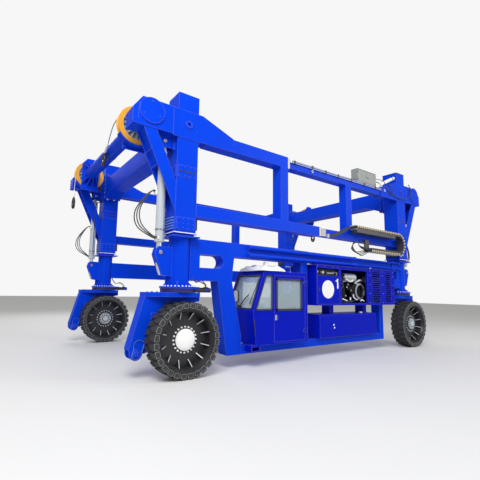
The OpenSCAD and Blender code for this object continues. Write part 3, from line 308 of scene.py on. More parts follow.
@dataclass(frozen=True)
class Zoned:
    """A finish that turns into a second one near an axis.

    Attributes:
        name: The material's name.
        outer: Finish away from the axis.
        inner: Finish near the axis.
        centre: A point on the axis, in the row frame.
        axis: Number of the axis: 0 for X, 1 for Y and 2 for Z.
        radius: Where the inner finish ends.
    """

    name: str
    outer: Finish
    inner: Finish
    centre: Point
    axis: int
    radius: float

    @property
    def slot(self) -> str:
        """The record's material slot, which is the outer finish's."""
        return self.outer.slot

    def material(self) -> bpy.types.Material:
        """Builds the material once and returns it."""
        return bpy.data.materials.get(self.name) or self._made()

    def _made(self) -> bpy.types.Material:
        """Builds the material from the outer finish's nodes.

        Returns:
            The material.
        """
        made = replace(self.outer, name=self.name).material()
        graph = Graph(made.node_tree)
        vector = graph.add("TexCoord", {}).outputs["Object"]
        across = tuple(0.0 if i == self.axis else 1.0 for i in range(3))
        for operation, value in (("SUBTRACT", self.centre), ("MULTIPLY", across)):
            vector = graph.add("VectorMath", {0: vector, 1: value}, operation).outputs["Vector"]
        reach = graph.add("VectorMath", {0: vector}, "LENGTH").outputs["Value"]
        inside = graph.add("Math", {0: reach, 1: self.radius}, "LESS_THAN").outputs["Value"]
        outer = graph.shader.inputs["Base Color"].links[0].from_socket
        graph.feed(graph.shader, {"Base Color": graph.mixed(inside, outer, self.inner.colour)})
        if self.inner.metallic != self.outer.metallic:
            graph.feed(graph.shader, {"Metallic": inside})
        return made


@dataclass(frozen=True)
class Glazing:
    """Clear cab glass that also shows the pale room.

    Attributes:
        name: The material's name.
        slot: The record's material slot.
        tint: Colour of the light that passes.
        bending: Index of refraction.
        smear: Roughness where the pane is most smeared.
    """

    name: str = "cab_glazing"
    slot: str = "cab_glazing"
    tint: Colour = (0.94, 0.97, 0.98)
    bending: float = 1.18
    smear: float = 0.03

    def material(self) -> bpy.types.Material:
        """Builds the material once and returns it."""
        return bpy.data.materials.get(self.name) or self._made()

    def _made(self) -> bpy.types.Material:
        """Builds the material.

        Returns:
            The material.
        """
        graph = Graph.start(self.name)
        rough = graph.ranged(graph.noise(5.0), to_min=0.0, to_max=self.smear)
        graph.feed(graph.shader, {"Base Color": (*self.tint, 1), "Transmission Weight": 1.0,
                                  "IOR": self.bending, "Roughness": rough})
        return bpy.data.materials[self.name]


# The edge values paint highlights along the edges, in a paler copy of each colour
BLUE = Finish("royal_blue_paint", "blue_paint", (0.0004, 0.046, 0.64), 0.4, coat=0.02, gloss=0.05,
              cloud=0.1, grain=0.004, grain_scale=40, dust=0.03, edge=0.3)
# A darker copy of the blue: painted shade on the cab, the power pack and the tank
SHADED_BLUE = Finish("deep_blue_paint", "blue_paint", (0.0002, 0.008, 0.44), 0.38, coat=0.03, gloss=0.05,
                   cloud=0.12, grain=0.004, grain_scale=40, dust=0.03, edge=0.3)
# A pale copy of the blue: a painted highlight on the pads' strips and the pivot rims
HIGHLIGHT_BLUE = Finish("strip_edge_blue", "blue_paint", (0.1, 0.24, 0.72), 0.4, gloss=0.2, cloud=0.08,
                   grain=0.002)
# A lighter copy of the blue: painted light on the knuckles' forward faces
LIT_FRONT_BLUE = Finish("bright_front_blue", "blue_paint", (0.01, 0.17, 0.74), 0.35, coat=0.05, gloss=0.1,
                  cloud=0.08, grain=0.002)
WEB_GREY = Finish("sheave_web_grey", "sheave_yellow", (0.3, 0.33, 0.35), 0.4, gloss=0.35, cloud=0.1,
                  grain=0.003)
BLACK = Finish("black_paint", "black_paint", (0.003, 0.004, 0.006), 0.5, coat=0.02, gloss=0.12,
               grain=0.004, dust=0.1, edge=0.18)
RUBBER = Finish("tyre_rubber", "tyre_rubber", (0.016, 0.018, 0.022), 0.75, gloss=0.35, cloud=0.25,
                grain=0.008, grain_scale=90, dust=0.22, edge=0.22)
ZINC = Finish("cylinder_grey_paint", "cylinder_grey", (0.46, 0.5, 0.54), 0.35, coat=0.2, cloud=0.07,
              grain=0.003, edge=0.1)
CHROME = Finish("chromed_rod", "cylinder_grey", (0.78, 0.79, 0.81), 0.12, metallic=1.0, cloud=0.03,
                grain=0.001)
STEEL = Finish("bare_steel", "cylinder_grey", (0.45, 0.45, 0.46), 0.35, metallic=1.0, cloud=0.15, grain=0.004)
ORANGE = Finish("sheave_yellow_paint", "sheave_yellow", (0.78, 0.36, 0.025), 0.36, coat=0.2, gloss=0.35,
                cloud=0.08, grain=0.003, edge=0.25)
PAD = Finish("cream_wear_pad", "wear_pad", (0.66, 0.64, 0.56), 0.55, cloud=0.12, grain=0.004)
SCUFF = Finish("scuffed_rubber", "tyre_rubber", (0.24, 0.25, 0.27), 0.7, gloss=0.2, cloud=0.3, grain=0.004)
STUD = Finish("chain_studs_gold", "wear_pad", (0.72, 0.55, 0.26), 0.45, cloud=0.1, grain=0.003)
CREAM = Finish("chain_edge_cream", "wear_pad", (0.62, 0.58, 0.47), 0.5, cloud=0.1, grain=0.003)
CHAIN = Finish("chain_plastic", "chain_plastic", (0.003, 0.003, 0.004), 0.6, gloss=0.08, cloud=0.15,
               grain=0.003, edge=0.1)
BOX_GREY = Finish("box_grey_paint", "box_grey", (0.24, 0.26, 0.25), 0.4, cloud=0.08, grain=0.003, edge=0.15)
WHITE = Finish("white_cover", "white_cover", (0.8, 0.8, 0.78), 0.35, coat=0.1, cloud=0.05, grain=0.006,
               grain_scale=20)
TRIM = Finish("cab_trim", "cab_trim", (0.006, 0.006, 0.008), 0.6, gloss=0.2, cloud=0.15, grain=0.003)
GLASS = Glazing()


# A function from a drawn point to the row frame
Placing = Callable[[Point], Point]


def straight(point: Point) -> Point:
    """Moves a point by the machine's own shift along Y."""
    return (point[0], point[1] + CENTRE_Y, point[2])


def on_side(side: int) -> Placing:
    """Gives a placing for points drawn for the left side, mirrored for the right one.

    Args:
        side: 1 for left and -1 for right.

    Returns:
        The placing.
    """
    return lambda p: (p[0], CENTRE_Y + side * p[1], p[2])


def link(name: str, data: bpy.types.ID) -> bpy.types.Object:
    """Makes an object and puts it into the scene.

    Args:
        name: Its name.
        data: Its camera, lamp or mesh.

    Returns:
        The object.
    """
    made = bpy.data.objects.new(name, data)
    bpy.context.scene.collection.objects.link(made)
    return made


class Form:
    """Closed meshes drawn one after another into a single piece."""

    def __init__(self, placing: Placing = straight) -> None:
        """Starts an empty form.

        Args:
            placing: Takes each drawn point to the row frame.
        """
        self.placing = placing
        self.points: list[Point] = []
        self.faces: list[tuple[int, ...]] = []

    def _add(self, points: list[Point], faces: list[tuple[int, ...]]) -> "Form":
        """Adds one closed mesh.

        Args:
            points: Corners of the mesh, as drawn.
            faces: Numbers of the corners of each face.

        Returns:
            The form.
        """
        start = len(self.points)
        self.points += [tuple(p) for p in points]
        self.faces += [tuple(i + start for i in face) for face in faces]
        return self

    def box(self, low: Point, high: Point) -> "Form":
        """Adds a box from its low corner to its high corner.

        Args:
            low: Corner with the least of each coordinate.
            high: Corner with the most of each coordinate.

        Returns:
            The form.
        """
        corners = [(x, y, z) for x in (low[0], high[0]) for y in (low[1], high[1]) for z in (low[2], high[2])]
        return self._add(corners, [(0, 1, 3, 2), (4, 6, 7, 5), (0, 4, 5, 1), (2, 3, 7, 6), (0, 2, 6, 4),
                                   (1, 5, 7, 3)])

    def rings(self, rings: list[list[Point]], closed: bool = False) -> "Form":
        """Joins rings of equal count into a skin, capped at both ends unless it is closed.

        Args:
            rings: Loops of points along the form.
            closed: Whether the last ring joins the first.

        Returns:
            The form.
        """
        count, faces = len(rings[0]), []
        for i in range(len(rings) if closed else len(rings) - 1):
            a, b = i * count, (i + 1) % len(rings) * count
            faces += [(a + j, a + (j + 1) % count, b + (j + 1) % count, b + j) for j in range(count)]
        if not closed:
            faces += [tuple(range(count)), tuple(range((len(rings) - 1) * count, len(rings) * count))]
        return self._add([p for ring in rings for p in ring], faces)

    def prism(self, outline: Section, low: float, high: float, axis: str = "y") -> "Form":
        """Extrudes an outline along an axis; the outline's pairs are the two other axes in order.

        Args:
            outline: Corners of the outline.
            low: Where it starts on the axis.
            high: Where it ends on the axis.
            axis: "x", "y" or "z".

        Returns:
            The form.
        """
        spread = {"x": lambda u, v, w: (w, u, v),
                  "y": lambda u, v, w: (u, w, v),
                  "z": lambda u, v, w: (u, v, w)}[axis]
        return self.rings([[spread(u, v, w) for u, v in outline] for w in (low, high)])

    def strip(self, outline: Section, width: float, low: float, high: float) -> "Form":
        """Runs a flat bar along a closed outline in the plane of X and Z.

        Args:
            outline: Corners of the bar's middle line.
            width: Width of the bar.
            low: Its near face along Y.
            high: Its far face along Y.

        Returns:
            The form.
        """
        for i, (x0, z0) in enumerate(outline):
            x1, z1 = outline[(i + 1) % len(outline)]
            length = math.hypot(x1 - x0, z1 - z0)
            u, v = (x1 - x0) / length * width / 2, (z1 - z0) / length * width / 2
            self.prism([(x0 - u + v, z0 - v - u), (x1 + u + v, z1 + v - u), (x1 + u - v, z1 + v + u),
                        (x0 - u - v, z0 - v + u)], low, high)
        return self

    def lathe(self, profile: Section, centre: Point, axis: Point = AXIS_Y,
              steps: int = 32, closed: bool = False) -> "Form":
        """Turns a profile of radius and height pairs about an axis.

        Args:
            profile: Radius and distance along the axis.
            centre: Where the distance is 0.
            axis: Direction of the axis.
            steps: Sides of the turned form.
            closed: Whether the profile is a closed ring.

        Returns:
            The form.
        """
        along = Vector(axis).normalized()
        across = along.orthogonal().normalized()
        third = along.cross(across)
        turns = [2 * math.pi * i / steps for i in range(steps)]
        spokes = [math.cos(a) * across + math.sin(a) * third for a in turns]
        rings = [[tuple(Vector(centre) + h * along + r * spoke) for spoke in spokes] for r, h in profile]
        return self.rings(rings, closed)

    def rod(self, start: Point, end: Point, radius: float, steps: int = 16) -> "Form":
        """Adds a straight round bar."""
        length = (Vector(end) - Vector(start)).length
        return self.lathe([(radius, 0), (radius, length)], start, tuple(Vector(end) - Vector(start)), steps)

    def bolts(self, centres: list[Point], axis: Point, radius: float, height: float,
              steps: int = 6) -> "Form":
        """Adds a bolt head with a small washer at each place.

        Args:
            centres: Middle of each foot.
            axis: Direction in which the heads stand.
            radius: Radius of a head.
            height: Height of a head.
            steps: Sides of a head.

        Returns:
            The form.
        """
        for centre in centres:
            self.lathe([(radius * 1.35, 0), (radius * 1.35, height * 0.2)], centre, axis, 12)
            self.lathe([(radius, height * 0.2), (radius, height * 0.9), (radius * 0.8, height)], centre,
                       axis, steps)
        return self

    def hose(self, path: list[Point], radius: float, steps: int = 10, smooth: int = 6) -> "Form":
        """Adds a round hose along a smooth curve through the points.

        Args:
            path: Points that the hose passes.
            radius: Its radius.
            steps: Sides of the hose.
            smooth: Rings between two points.

        Returns:
            The form.
        """
        ends = [Vector(p) for p in path]
        ends = [2 * ends[0] - ends[1], *ends, 2 * ends[-1] - ends[-2]]
        line = []
        for i in range(1, len(ends) - 2):
            a, b, c, d = ends[i - 1:i + 3]
            for j in range(smooth):
                t = j / smooth
                line.append(0.5 * (2 * b + (c - a) * t + (2 * a - 5 * b + 4 * c - d) * t * t
                                   + (3 * b - a - 3 * c + d) * t ** 3))
        line.append(ends[-2])
        rings, side = [], None
        for i, point in enumerate(line):
            along = (line[min(i + 1, len(line) - 1)] - line[max(i - 1, 0)]).normalized()
            side = along.orthogonal() if side is None else side - side.dot(along) * along
            side.normalize()
            third = along.cross(side)
            rings.append([tuple(point + radius * (math.cos(a) * side + math.sin(a) * third))
                          for a in (2 * math.pi * k / steps for k in range(steps))])
        return self.rings(rings)

    def torus(self, centre: Point, axis: Point, radius: float, thick: float, steps: int = 48) -> "Form":
        """Adds a round ring about an axis.

        Args:
            centre: Middle of the ring.
            axis: Direction of its axis.
            radius: Radius of the ring's middle line.
            thick: Radius of its section.
            steps: Sections round the ring.

        Returns:
            The form.
        """
        profile = [(radius + thick * math.cos(a), thick * math.sin(a))
                   for a in (2 * math.pi * k / 10 for k in range(10))]
        return self.lathe(profile, centre, axis, steps, closed=True)

    def place(self, name: str, finish: Finish, body: str, slot: str = "",
              bevel: float = 0.0) -> bpy.types.Object:
        """Turns the form into a piece that rides on a body.

        Args:
            name: The piece's name.
            finish: Its finish.
            body: The body that carries it.
            slot: The record's material slot, if it isn't the finish's own; it is worked out but not used.
            bevel: Width of the rounding of its edges, or 0.

        Returns:
            The piece.
        """
        mesh = bpy.data.meshes.new(name)
        mesh.from_pydata([self.placing(p) for p in self.points], [], self.faces)
        net = bmesh.new()
        net.from_mesh(mesh)
        bmesh.ops.recalc_face_normals(net, faces=net.faces)
        net.to_mesh(mesh)
        net.free()
        mesh.materials.append(finish.material())
        mesh.shade_smooth()
        mesh.set_sharp_from_angle(angle=SHARP_FROM)
        slot = slot or finish.slot
        piece = link(name, mesh)
        if bevel:
            rounding = piece.modifiers.new("rounding", "BEVEL")
            rounding.width = bevel
            rounding.segments = 2
            rounding.limit_method = "ANGLE"
            rounding.angle_limit = ROUNDED_FROM
        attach(piece, body)
        LOG.info("placed %s on %s", name, body)
        return piece


def around(centre: Point, axis: str, radius: float, count: int, start: float = 0.0) -> list[Point]:
    """Spaces points evenly on a circle about an axis.

    Args:
        centre: Middle of the circle.
        axis: "x", "y" or "z".
        radius: Radius of the circle.
        count: Number of points.
        start: Angle of the first point, in degrees.

    Returns:
        The points.
    """
    found = []
    for i in range(count):
        turn = math.radians(start + 360 * i / count)
        u, v = radius * math.cos(turn), radius * math.sin(turn)
        add = {"x": (0, u, v), "y": (u, 0, v), "z": (u, v, 0)}[axis]
        found.append(tuple(c + a for c, a in zip(centre, add)))
    return found


def heading(turn: float) -> tuple[Vector, Vector]:
    """Gives the direction at an angle in the plane of X and Z, and the one a quarter turn further.

    Args:
        turn: The angle from X towards Z, in radians.

    Returns:
        The two directions.
    """
    first = Vector((math.cos(turn), 0, math.sin(turn)))
    return first, Vector((-first.z, 0, first.x))


def bars(centre: Vector, along: Vector, out: Vector, section: Section,
         faces: tuple[float, float]) -> list[list[Point]]:
    """Draws the two end rings of a bar that runs along Y.

    Args:
        centre: Middle of the bar, where Y is 0.
        along: First direction of the section.
        out: Second direction of the section.
        section: Corners of the section along these two.
        faces: Where the bar starts and ends along Y.

    Returns:
        The rings.
    """
    return [[tuple(centre + Vector((0, y, 0)) + a * along + b * out) for a, b in section] for y in faces]


def rounded(u: float, v: float, half_u: float, half_v: float, radius: float) -> Section:
    """Draws a rectangle with round corners.

    Args:
        u: Middle along the first axis.
        v: Middle along the second axis.
        half_u: Half its width.
        half_v: Half its height.
        radius: Radius of its corners.

    Returns:
        The outline, one turn round.
    """
    corners = ((half_u, half_v), (-half_u, half_v), (-half_u, -half_v), (half_u, -half_v))
    outline = []
    for quarter, (a, b) in enumerate(corners):
        for step in range(5):
            turn = math.radians(90 * quarter + 22.5 * step)
            outline.append((u + math.copysign(abs(a) - radius, a) + radius * math.cos(turn),
                            v + math.copysign(abs(b) - radius, b) + radius * math.sin(turn)))
    return outline


def pin_cap(form: Form, way: int, height: float) -> None:
    """Caps one end of a lift cylinder's pin.

    Args:
        form: The form that takes the cap, drawn from the post axis.
        way: 1 or -1, for the end along Y.
        height: Height of the pin.
    """
    form.lathe([(0.034, -0.002), (0.034, 0.004), (0.029, 0.008), (TIP, 0.009)], (LIFT_X, way * 0.099, height),
               (0, way, 0), 32)


@dataclass
class Wheels:
    """Hubs, nuts, lock rings, rib edges, sidewall rings and tread blocks of the four wheels.

    Attributes:
        cover_face: Outer face of the hub cover from the post axis.
        outer_face: Outer face of the tyre from the post axis.
        cap_radius: Radius of the closed hub cover.
        nut_circle: Radius of the wheel nuts' circle.
        nut_count: Nuts of a wheel.
        lobe_count: Round lobes of an open hub.
        rib_count: Ribs of a rim.
        rib_edge: Radius and distance from the rim's inner face at both ends of a rib's edge.
        block_count: Shoulder blocks of a tyre, and half as many as along the tread's middle.
        shoulder: Inner and outer radius of a shoulder block.
    """

    cover_face: float = 0.368
    outer_face: float = 0.486
    cap_radius: float = 0.192
    nut_circle: float = 0.225
    nut_count: int = 20
    lobe_count: int = 12
    rib_count: int = 12
    rib_edge: tuple[tuple[float, float], ...] = ((0.35, 0.2), (0.484, 0.306))
    block_count: int = 28
    shoulder: tuple[float, float] = (0.562, 0.64)

    def _hub(self, corner: Corner, centre: Point) -> None:
        """Covers the front left hub with a plain white dish, and leaves the lobes of the others open.

        Args:
            corner: The leg whose wheel is meant.
            centre: Middle of the wheel.
        """
        closed = corner is Corner.FL
        tag, wheel, (x, y, z) = corner.tag, "wheel_" + corner.tag, centre
        hub = Form()
        if closed:
            hub.lathe([(TIP, 0.03), (0.06, 0.029), (0.12, 0.024), (self.cap_radius - 0.02, 0.014),
                       (self.cap_radius, 0.002), (self.cap_radius, -0.02), (TIP, -0.02)], centre, steps=64)
        else:
            for lobe in around((x, y - 0.002, z), "y", 0.118, self.lobe_count):
                hub.lathe([(0.027, 0), (0.027, 0.02), (0.021, 0.028), (TIP, 0.03)], lobe, steps=20)
            hub.lathe([(0.078, -0.002), (0.078, 0.03), (0.066, 0.044), (0.03, 0.05), (TIP, 0.052)], centre,
                      steps=40)
            hub.torus((x, y - 0.001, z), AXIS_Y, 0.158, 0.008)
        finish, slot = (WHITE, "white_cover") if closed else (ZINC, "black_paint")
        hub.place(("hub_cover_" if closed else "hub_") + tag, finish, wheel, slot)
        spots = around((x, y - 0.036, z), "y", self.nut_circle, self.nut_count, 0 if closed else 9)
        Form().bolts(spots, AXIS_Y, 0.013, 0.03).place("wheel_nuts_" + tag, finish, wheel, slot)

    def _rim(self, corner: Corner, centre: Point) -> None:
        """Adds the split lock ring, the pale edges of the ribs and the valve.

        Args:
            corner: The leg whose wheel is meant.
            centre: Middle of the wheel.
        """
        tag, wheel, (x, y, z) = corner.tag, "wheel_" + corner.tag, centre
        ring = Form()
        for radius, thick in ((0.54, 0.007), (0.52, 0.005)):
            ring.torus(centre, AXIS_Y, radius, thick, 96)
        ring.place("lock_ring_" + tag, BLACK, wheel)
        edges = Form()
        middle = Vector((x, y - TYRE_WIDTH, z))
        for i in range(self.rib_count):
            out, along = heading(2 * math.pi * (i + 0.5) / self.rib_count)
            edges.rings([[tuple(middle + (r + b * 0.6) * -out + Vector((0, a + b, 0)) + c * along)
                          for b, c in ((-0.002, -0.008), (-0.002, 0.008), (0.004, 0.008), (0.004, -0.008))]
                         for r, a in self.rib_edge])
        edges.place("rib_edges_" + tag, ZINC, wheel, "black_paint")
        valve = Form().hose([(x, y - 0.17, z + 0.47), (x, y - 0.1, z + 0.475), (x, y - 0.04, z + 0.49)],
                            0.006, 8, 4)
        valve.place("valve_" + tag, STEEL, wheel, "black_paint")

    def _tyre(self, corner: Corner, centre: Point) -> None:
        """Adds the sidewall's rings and the blocks along the middle of the tread.

        Args:
            corner: The leg whose wheel is meant.
            centre: Middle of the wheel.
        """
        x, y, z = centre
        rings = Form()
        for face in (y, y - TYRE_WIDTH):
            for radius, thick in ((0.566, 0.0035), (0.588, 0.005), (0.612, 0.0035)):
                rings.torus((x, face, z), AXIS_Y, radius, thick, 96)
        middle = Vector((x, y - TYRE_WIDTH / 2, z))
        for i in range(self.block_count * 2):
            out, along = heading(math.pi * i / self.block_count)
            rings.rings([[tuple(middle + reach * out + a * along + Vector((0, b, 0)))
                          for a, b in ((-0.022, -0.02), (0.016, -0.032), (0.022, 0.02), (-0.016, 0.032))]
                         for reach in (0.625, 0.66)])
        rings.place("tread_" + corner.tag, RUBBER, "wheel_" + corner.tag)

    def _shoulder(self, corner: Corner, centre: Point) -> None:
        """Adds the square blocks of the tread's outer shoulder with their pale scuffed edges.

        Args:
            corner: The leg whose wheel is meant.
            centre: Middle of the wheel.
        """
        x, y, z = centre
        blocks, scuffs = Form(), Form()
        low, high = self.shoulder
        for i in range(self.block_count):
            turn = 2 * math.pi * (i + 0.5) / self.block_count
            out, along = (math.cos(turn), math.sin(turn)), (-math.sin(turn), math.cos(turn))
            outline = [(x + r * out[0] + t * along[0], z + r * out[1] + t * along[1])
                       for r, t in ((low, -0.047), (high, -0.052), (high, 0.052), (low, 0.047))]
            blocks.prism(outline, y - 0.012, y + 0.003)
            scuffs.strip(outline, 0.006, y - 0.012, y + 0.0045)
        blocks.place("shoulder_blocks_" + corner.tag, RUBBER, "wheel_" + corner.tag)
        scuffs.place("shoulder_scuffs_" + corner.tag, SCUFF, "wheel_" + corner.tag)

    def build(self) -> None:
        """Dresses the four wheels."""
        for corner in Corner:
            x, y, z = corner.leg((0, self.cover_face, TYRE_RADIUS))
            self._hub(corner, (x, y - CENTRE_Y, z))
            face = (x, y - CENTRE_Y + self.outer_face - self.cover_face, z)
            self._rim(corner, face)
            self._tyre(corner, face)
            self._shoulder(corner, face)


@dataclass
class Knuckles:
    """Slewing rings, pivot caps, rims with a painted highlight, fronts in a lighter blue as painted light,
    screws and hoses of the four knuckles.

    Attributes:
        ring_radius: Radius of the slewing ring.
        ring_low: Lower edge of its dark band.
        ring_high: Upper edge of its dark band.
        pivot: Swing arm pivot in front of the post axis, and its height.
        cheek_out: Outer face of the outer leg plate from the post axis.
        cheek_in: Outer face of the inner leg plate from the post axis.
        rim: Radius of the rim round the pivot, which is painted pale blue as a highlight.
        stretch: How far the rim's upper half moves back, which makes it an oval.
    """

    ring_radius: float = 0.33
    ring_low: float = 1.503
    ring_high: float = 1.572
    pivot: tuple[float, float] = (0.8, 0.45)
    cheek_out: float = 0.101
    cheek_in: float = -0.161
    rim: float = 0.098
    stretch: float = 0.05

    def _ring(self, corner: Corner) -> None:
        """Lays the dark band with its two lips round the slewing ring.

        Args:
            corner: The leg whose parts are made.
        """
        r, low, high = self.ring_radius, self.ring_low, self.ring_high
        band = Form(corner.leg)
        band.lathe([(r - 0.01, low), (r + 0.004, low), (r + 0.004, low + 0.028), (r, low + 0.031),
                    (r, high - 0.031), (r + 0.004, high - 0.028), (r + 0.004, high), (r - 0.01, high)],
                   (0, 0, 0), AXIS_Z, 96, closed=True)
        band.place("slewing_ring_" + corner.tag, BLACK, "knuckle_" + corner.tag)

    def _pivot(self, corner: Corner) -> None:
        """Caps the swing arm's pivot on both sides and draws the oval rim round it, painted pale blue as a
        highlight.

        Args:
            corner: The leg whose parts are made.
        """
        x, z = self.pivot
        cap, boss = Form(corner.leg), Form(corner.leg)
        for face, way in ((self.cheek_out, 1), (self.cheek_in, -1)):
            cap.lathe([(0.05, -0.001), (0.05, 0.012), (0.043, 0.018), (TIP, 0.019)], (x, face, z),
                      (0, way, 0), 40)
            cap.bolts(around((x, face - way * 0.012, z), "y", 0.03, 4, 45), (0, way, 0), 0.008, 0.036)
        cap.place("pivot_caps_" + corner.tag, BLUE, "knuckle_" + corner.tag)
        oval = [(x + self.rim * math.cos(a) - lean, z + self.rim * math.sin(a) + 2.6 * lean)
                for a, lean in ((math.radians(d), 0.0 if 160 < d < 340 else self.stretch)
                                for d in range(-20, 340, 15))]
        # The rim's pale blue is a painted highlight
        boss.strip(oval, 0.011, self.cheek_out - 0.002, self.cheek_out + 0.006)
        boss.place("pivot_rims_" + corner.tag, HIGHLIGHT_BLUE, "knuckle_" + corner.tag)

    def build(self) -> None:
        """Dresses the four knuckles."""
        for corner in Corner:
            body, tag = "knuckle_" + corner.tag, corner.tag
            self._ring(corner)
            self._pivot(corner)
            front, plates, hoses = (Form(corner.leg) for _ in range(3))
            # A thin plate over the leg's front face, in a lighter blue as painted light
            front.prism([(0.69, 1.412), (0.692, 1.4125), (0.9305, 0.5155), (0.9285, 0.515)], -0.146, 0.086)
            front.place("leg_fronts_" + tag, LIT_FRONT_BLUE, body)
            plates.bolts([(0.36 + 0.1 * i, y, 1.5) for i in range(3) for y in (-0.12, 0.06)], AXIS_Z,
                         0.011, 0.014)
            plates.box((0.42, 0.0895, 1.02), (0.56, 0.0935, 1.14))
            plates.bolts([(x, 0.093, z) for z in (1.035, 1.125) for x in (0.435, 0.545)], AXIS_Y, 0.006,
                         0.006)
            plates.place("knuckle_fittings_" + tag, BLUE, body, bevel=0.001)
            hoses.hose([(0.2, 0.098, 1.36), (0.3, 0.112, 1.22), (0.3, 0.108, 1.0), (0.22, 0.1, 0.82),
                        (0.1, 0.096, 0.74)], 0.01)
            hoses.hose([(0.24, 0.098, 1.36), (0.35, 0.115, 1.2), (0.36, 0.11, 0.97), (0.28, 0.101, 0.76),
                        (0.14, 0.096, 0.68)], 0.008)
            hoses.hose([(0.6, -0.158, 1.3), (0.66, -0.166, 1.02), (0.76, -0.166, 0.72),
                        (0.8, -0.17, 0.53)], 0.007)
            hoses.place("brake_hoses_" + tag, TRIM, body)


@dataclass
class Columns:
    """Flange bolts, pin caps, steering motors and oil lines of the four columns.

    Attributes:
        flange_top: Height of the flange's upper face.
        bolt_circle: Radius of the flange bolts' circle.
        bolt_count: Bolts of a full circle.
        low_pin_z: Height of the lift cylinder's lower pin.
        motor_z: Height of the steering motor's axis.
        motor_radius: Radius of the steering motor.
    """

    flange_top: float = 1.61
    bolt_circle: float = 0.326
    bolt_count: int = 30
    low_pin_z: float = 2.222
    motor_z: float = 1.552
    motor_radius: float = 0.046

    def _flange(self, corner: Corner) -> None:
        """Bolts the flange to the slewing ring, clear of the cylinder's plates and of the mast.

        Args:
            corner: The leg whose parts are made.
        """
        spots = [p for p in around((0, 0, self.flange_top), "z", self.bolt_circle, self.bolt_count, 6)
                 if not (p[0] > 0.24 and abs(p[1]) < 0.03) and p[0] > -0.3]
        bolts = Form(corner.leg).bolts(spots, AXIS_Z, 0.013, 0.022)
        bolts.place("flange_bolts_" + corner.tag, WHITE, corner.chassis, "blue_paint")

    def _pins(self, corner: Corner) -> None:
        """Caps the lower lift pin and locks it with a keeper plate.

        Args:
            corner: The leg whose parts are made.
        """
        caps = Form(corner.leg)
        for way in (1, -1):
            pin_cap(caps, way, self.low_pin_z)
            caps.box((LIFT_X - 0.028, way * 0.085 - 0.004, self.low_pin_z + 0.03),
                     (LIFT_X + 0.028, way * 0.085 + 0.01, self.low_pin_z + 0.046))
        caps.place("low_pins_" + corner.tag, STEEL, corner.chassis, "blue_paint")

    def _motor(self, corner: Corner) -> None:
        """Cases the steering motor in black, with its oil ports and lines.

        Args:
            corner: The leg whose parts are made.
        """
        tag, body, z, r = corner.tag, corner.chassis, self.motor_z, self.motor_radius
        case, ends, lines = (Form(corner.leg) for _ in range(3))
        case.lathe([(TIP, -0.006), (r * 0.8, -0.004), (r + 0.002, 0.004), (r + 0.002, 0.06),
                    (r - 0.004, 0.064), (r - 0.004, 0.1), (r + 0.002, 0.104), (r + 0.002, 0.235),
                    (r + 0.007, 0.237), (r + 0.007, 0.268), (TIP, 0.268)], (-0.715, 0, z), AXIS_X, 32)
        case.box((-0.66, -0.028, z + 0.03), (-0.58, 0.028, z + 0.062))
        case.box((-0.445, -0.062, 1.5065), (-0.3405, 0.062, 1.5745))
        case.place("steer_motor_" + tag, BLACK, body, bevel=0.002)
        for i, y in enumerate((-0.014, 0.014)):
            ends.rod((-0.62, y, z + 0.06), (-0.62, y, z + 0.082), 0.009, 6)
            lines.hose([(-0.62, y, z + 0.08), (-0.6, y, z + 0.12), (-0.48, y * 3, z + 0.17 + 0.02 * i),
                        (-0.34, 0.1 + y, z + 0.15), (-0.235, 0.13 + y, z + 0.24),
                        (-0.195, 0.1 + y, z + 0.34)], 0.009)
        ends.bolts(around((-0.447, 0, z), "x", 0.043, 4, 45), (-1, 0, 0), 0.006, 0.01)
        ends.place("steer_ports_" + tag, STEEL, body, "black_paint")
        lines.place("steer_hoses_" + tag, TRIM, body)

    def build(self) -> None:
        """Dresses the four columns."""
        for corner in Corner:
            self._flange(corner)
            self._pins(corner)
            self._motor(corner)


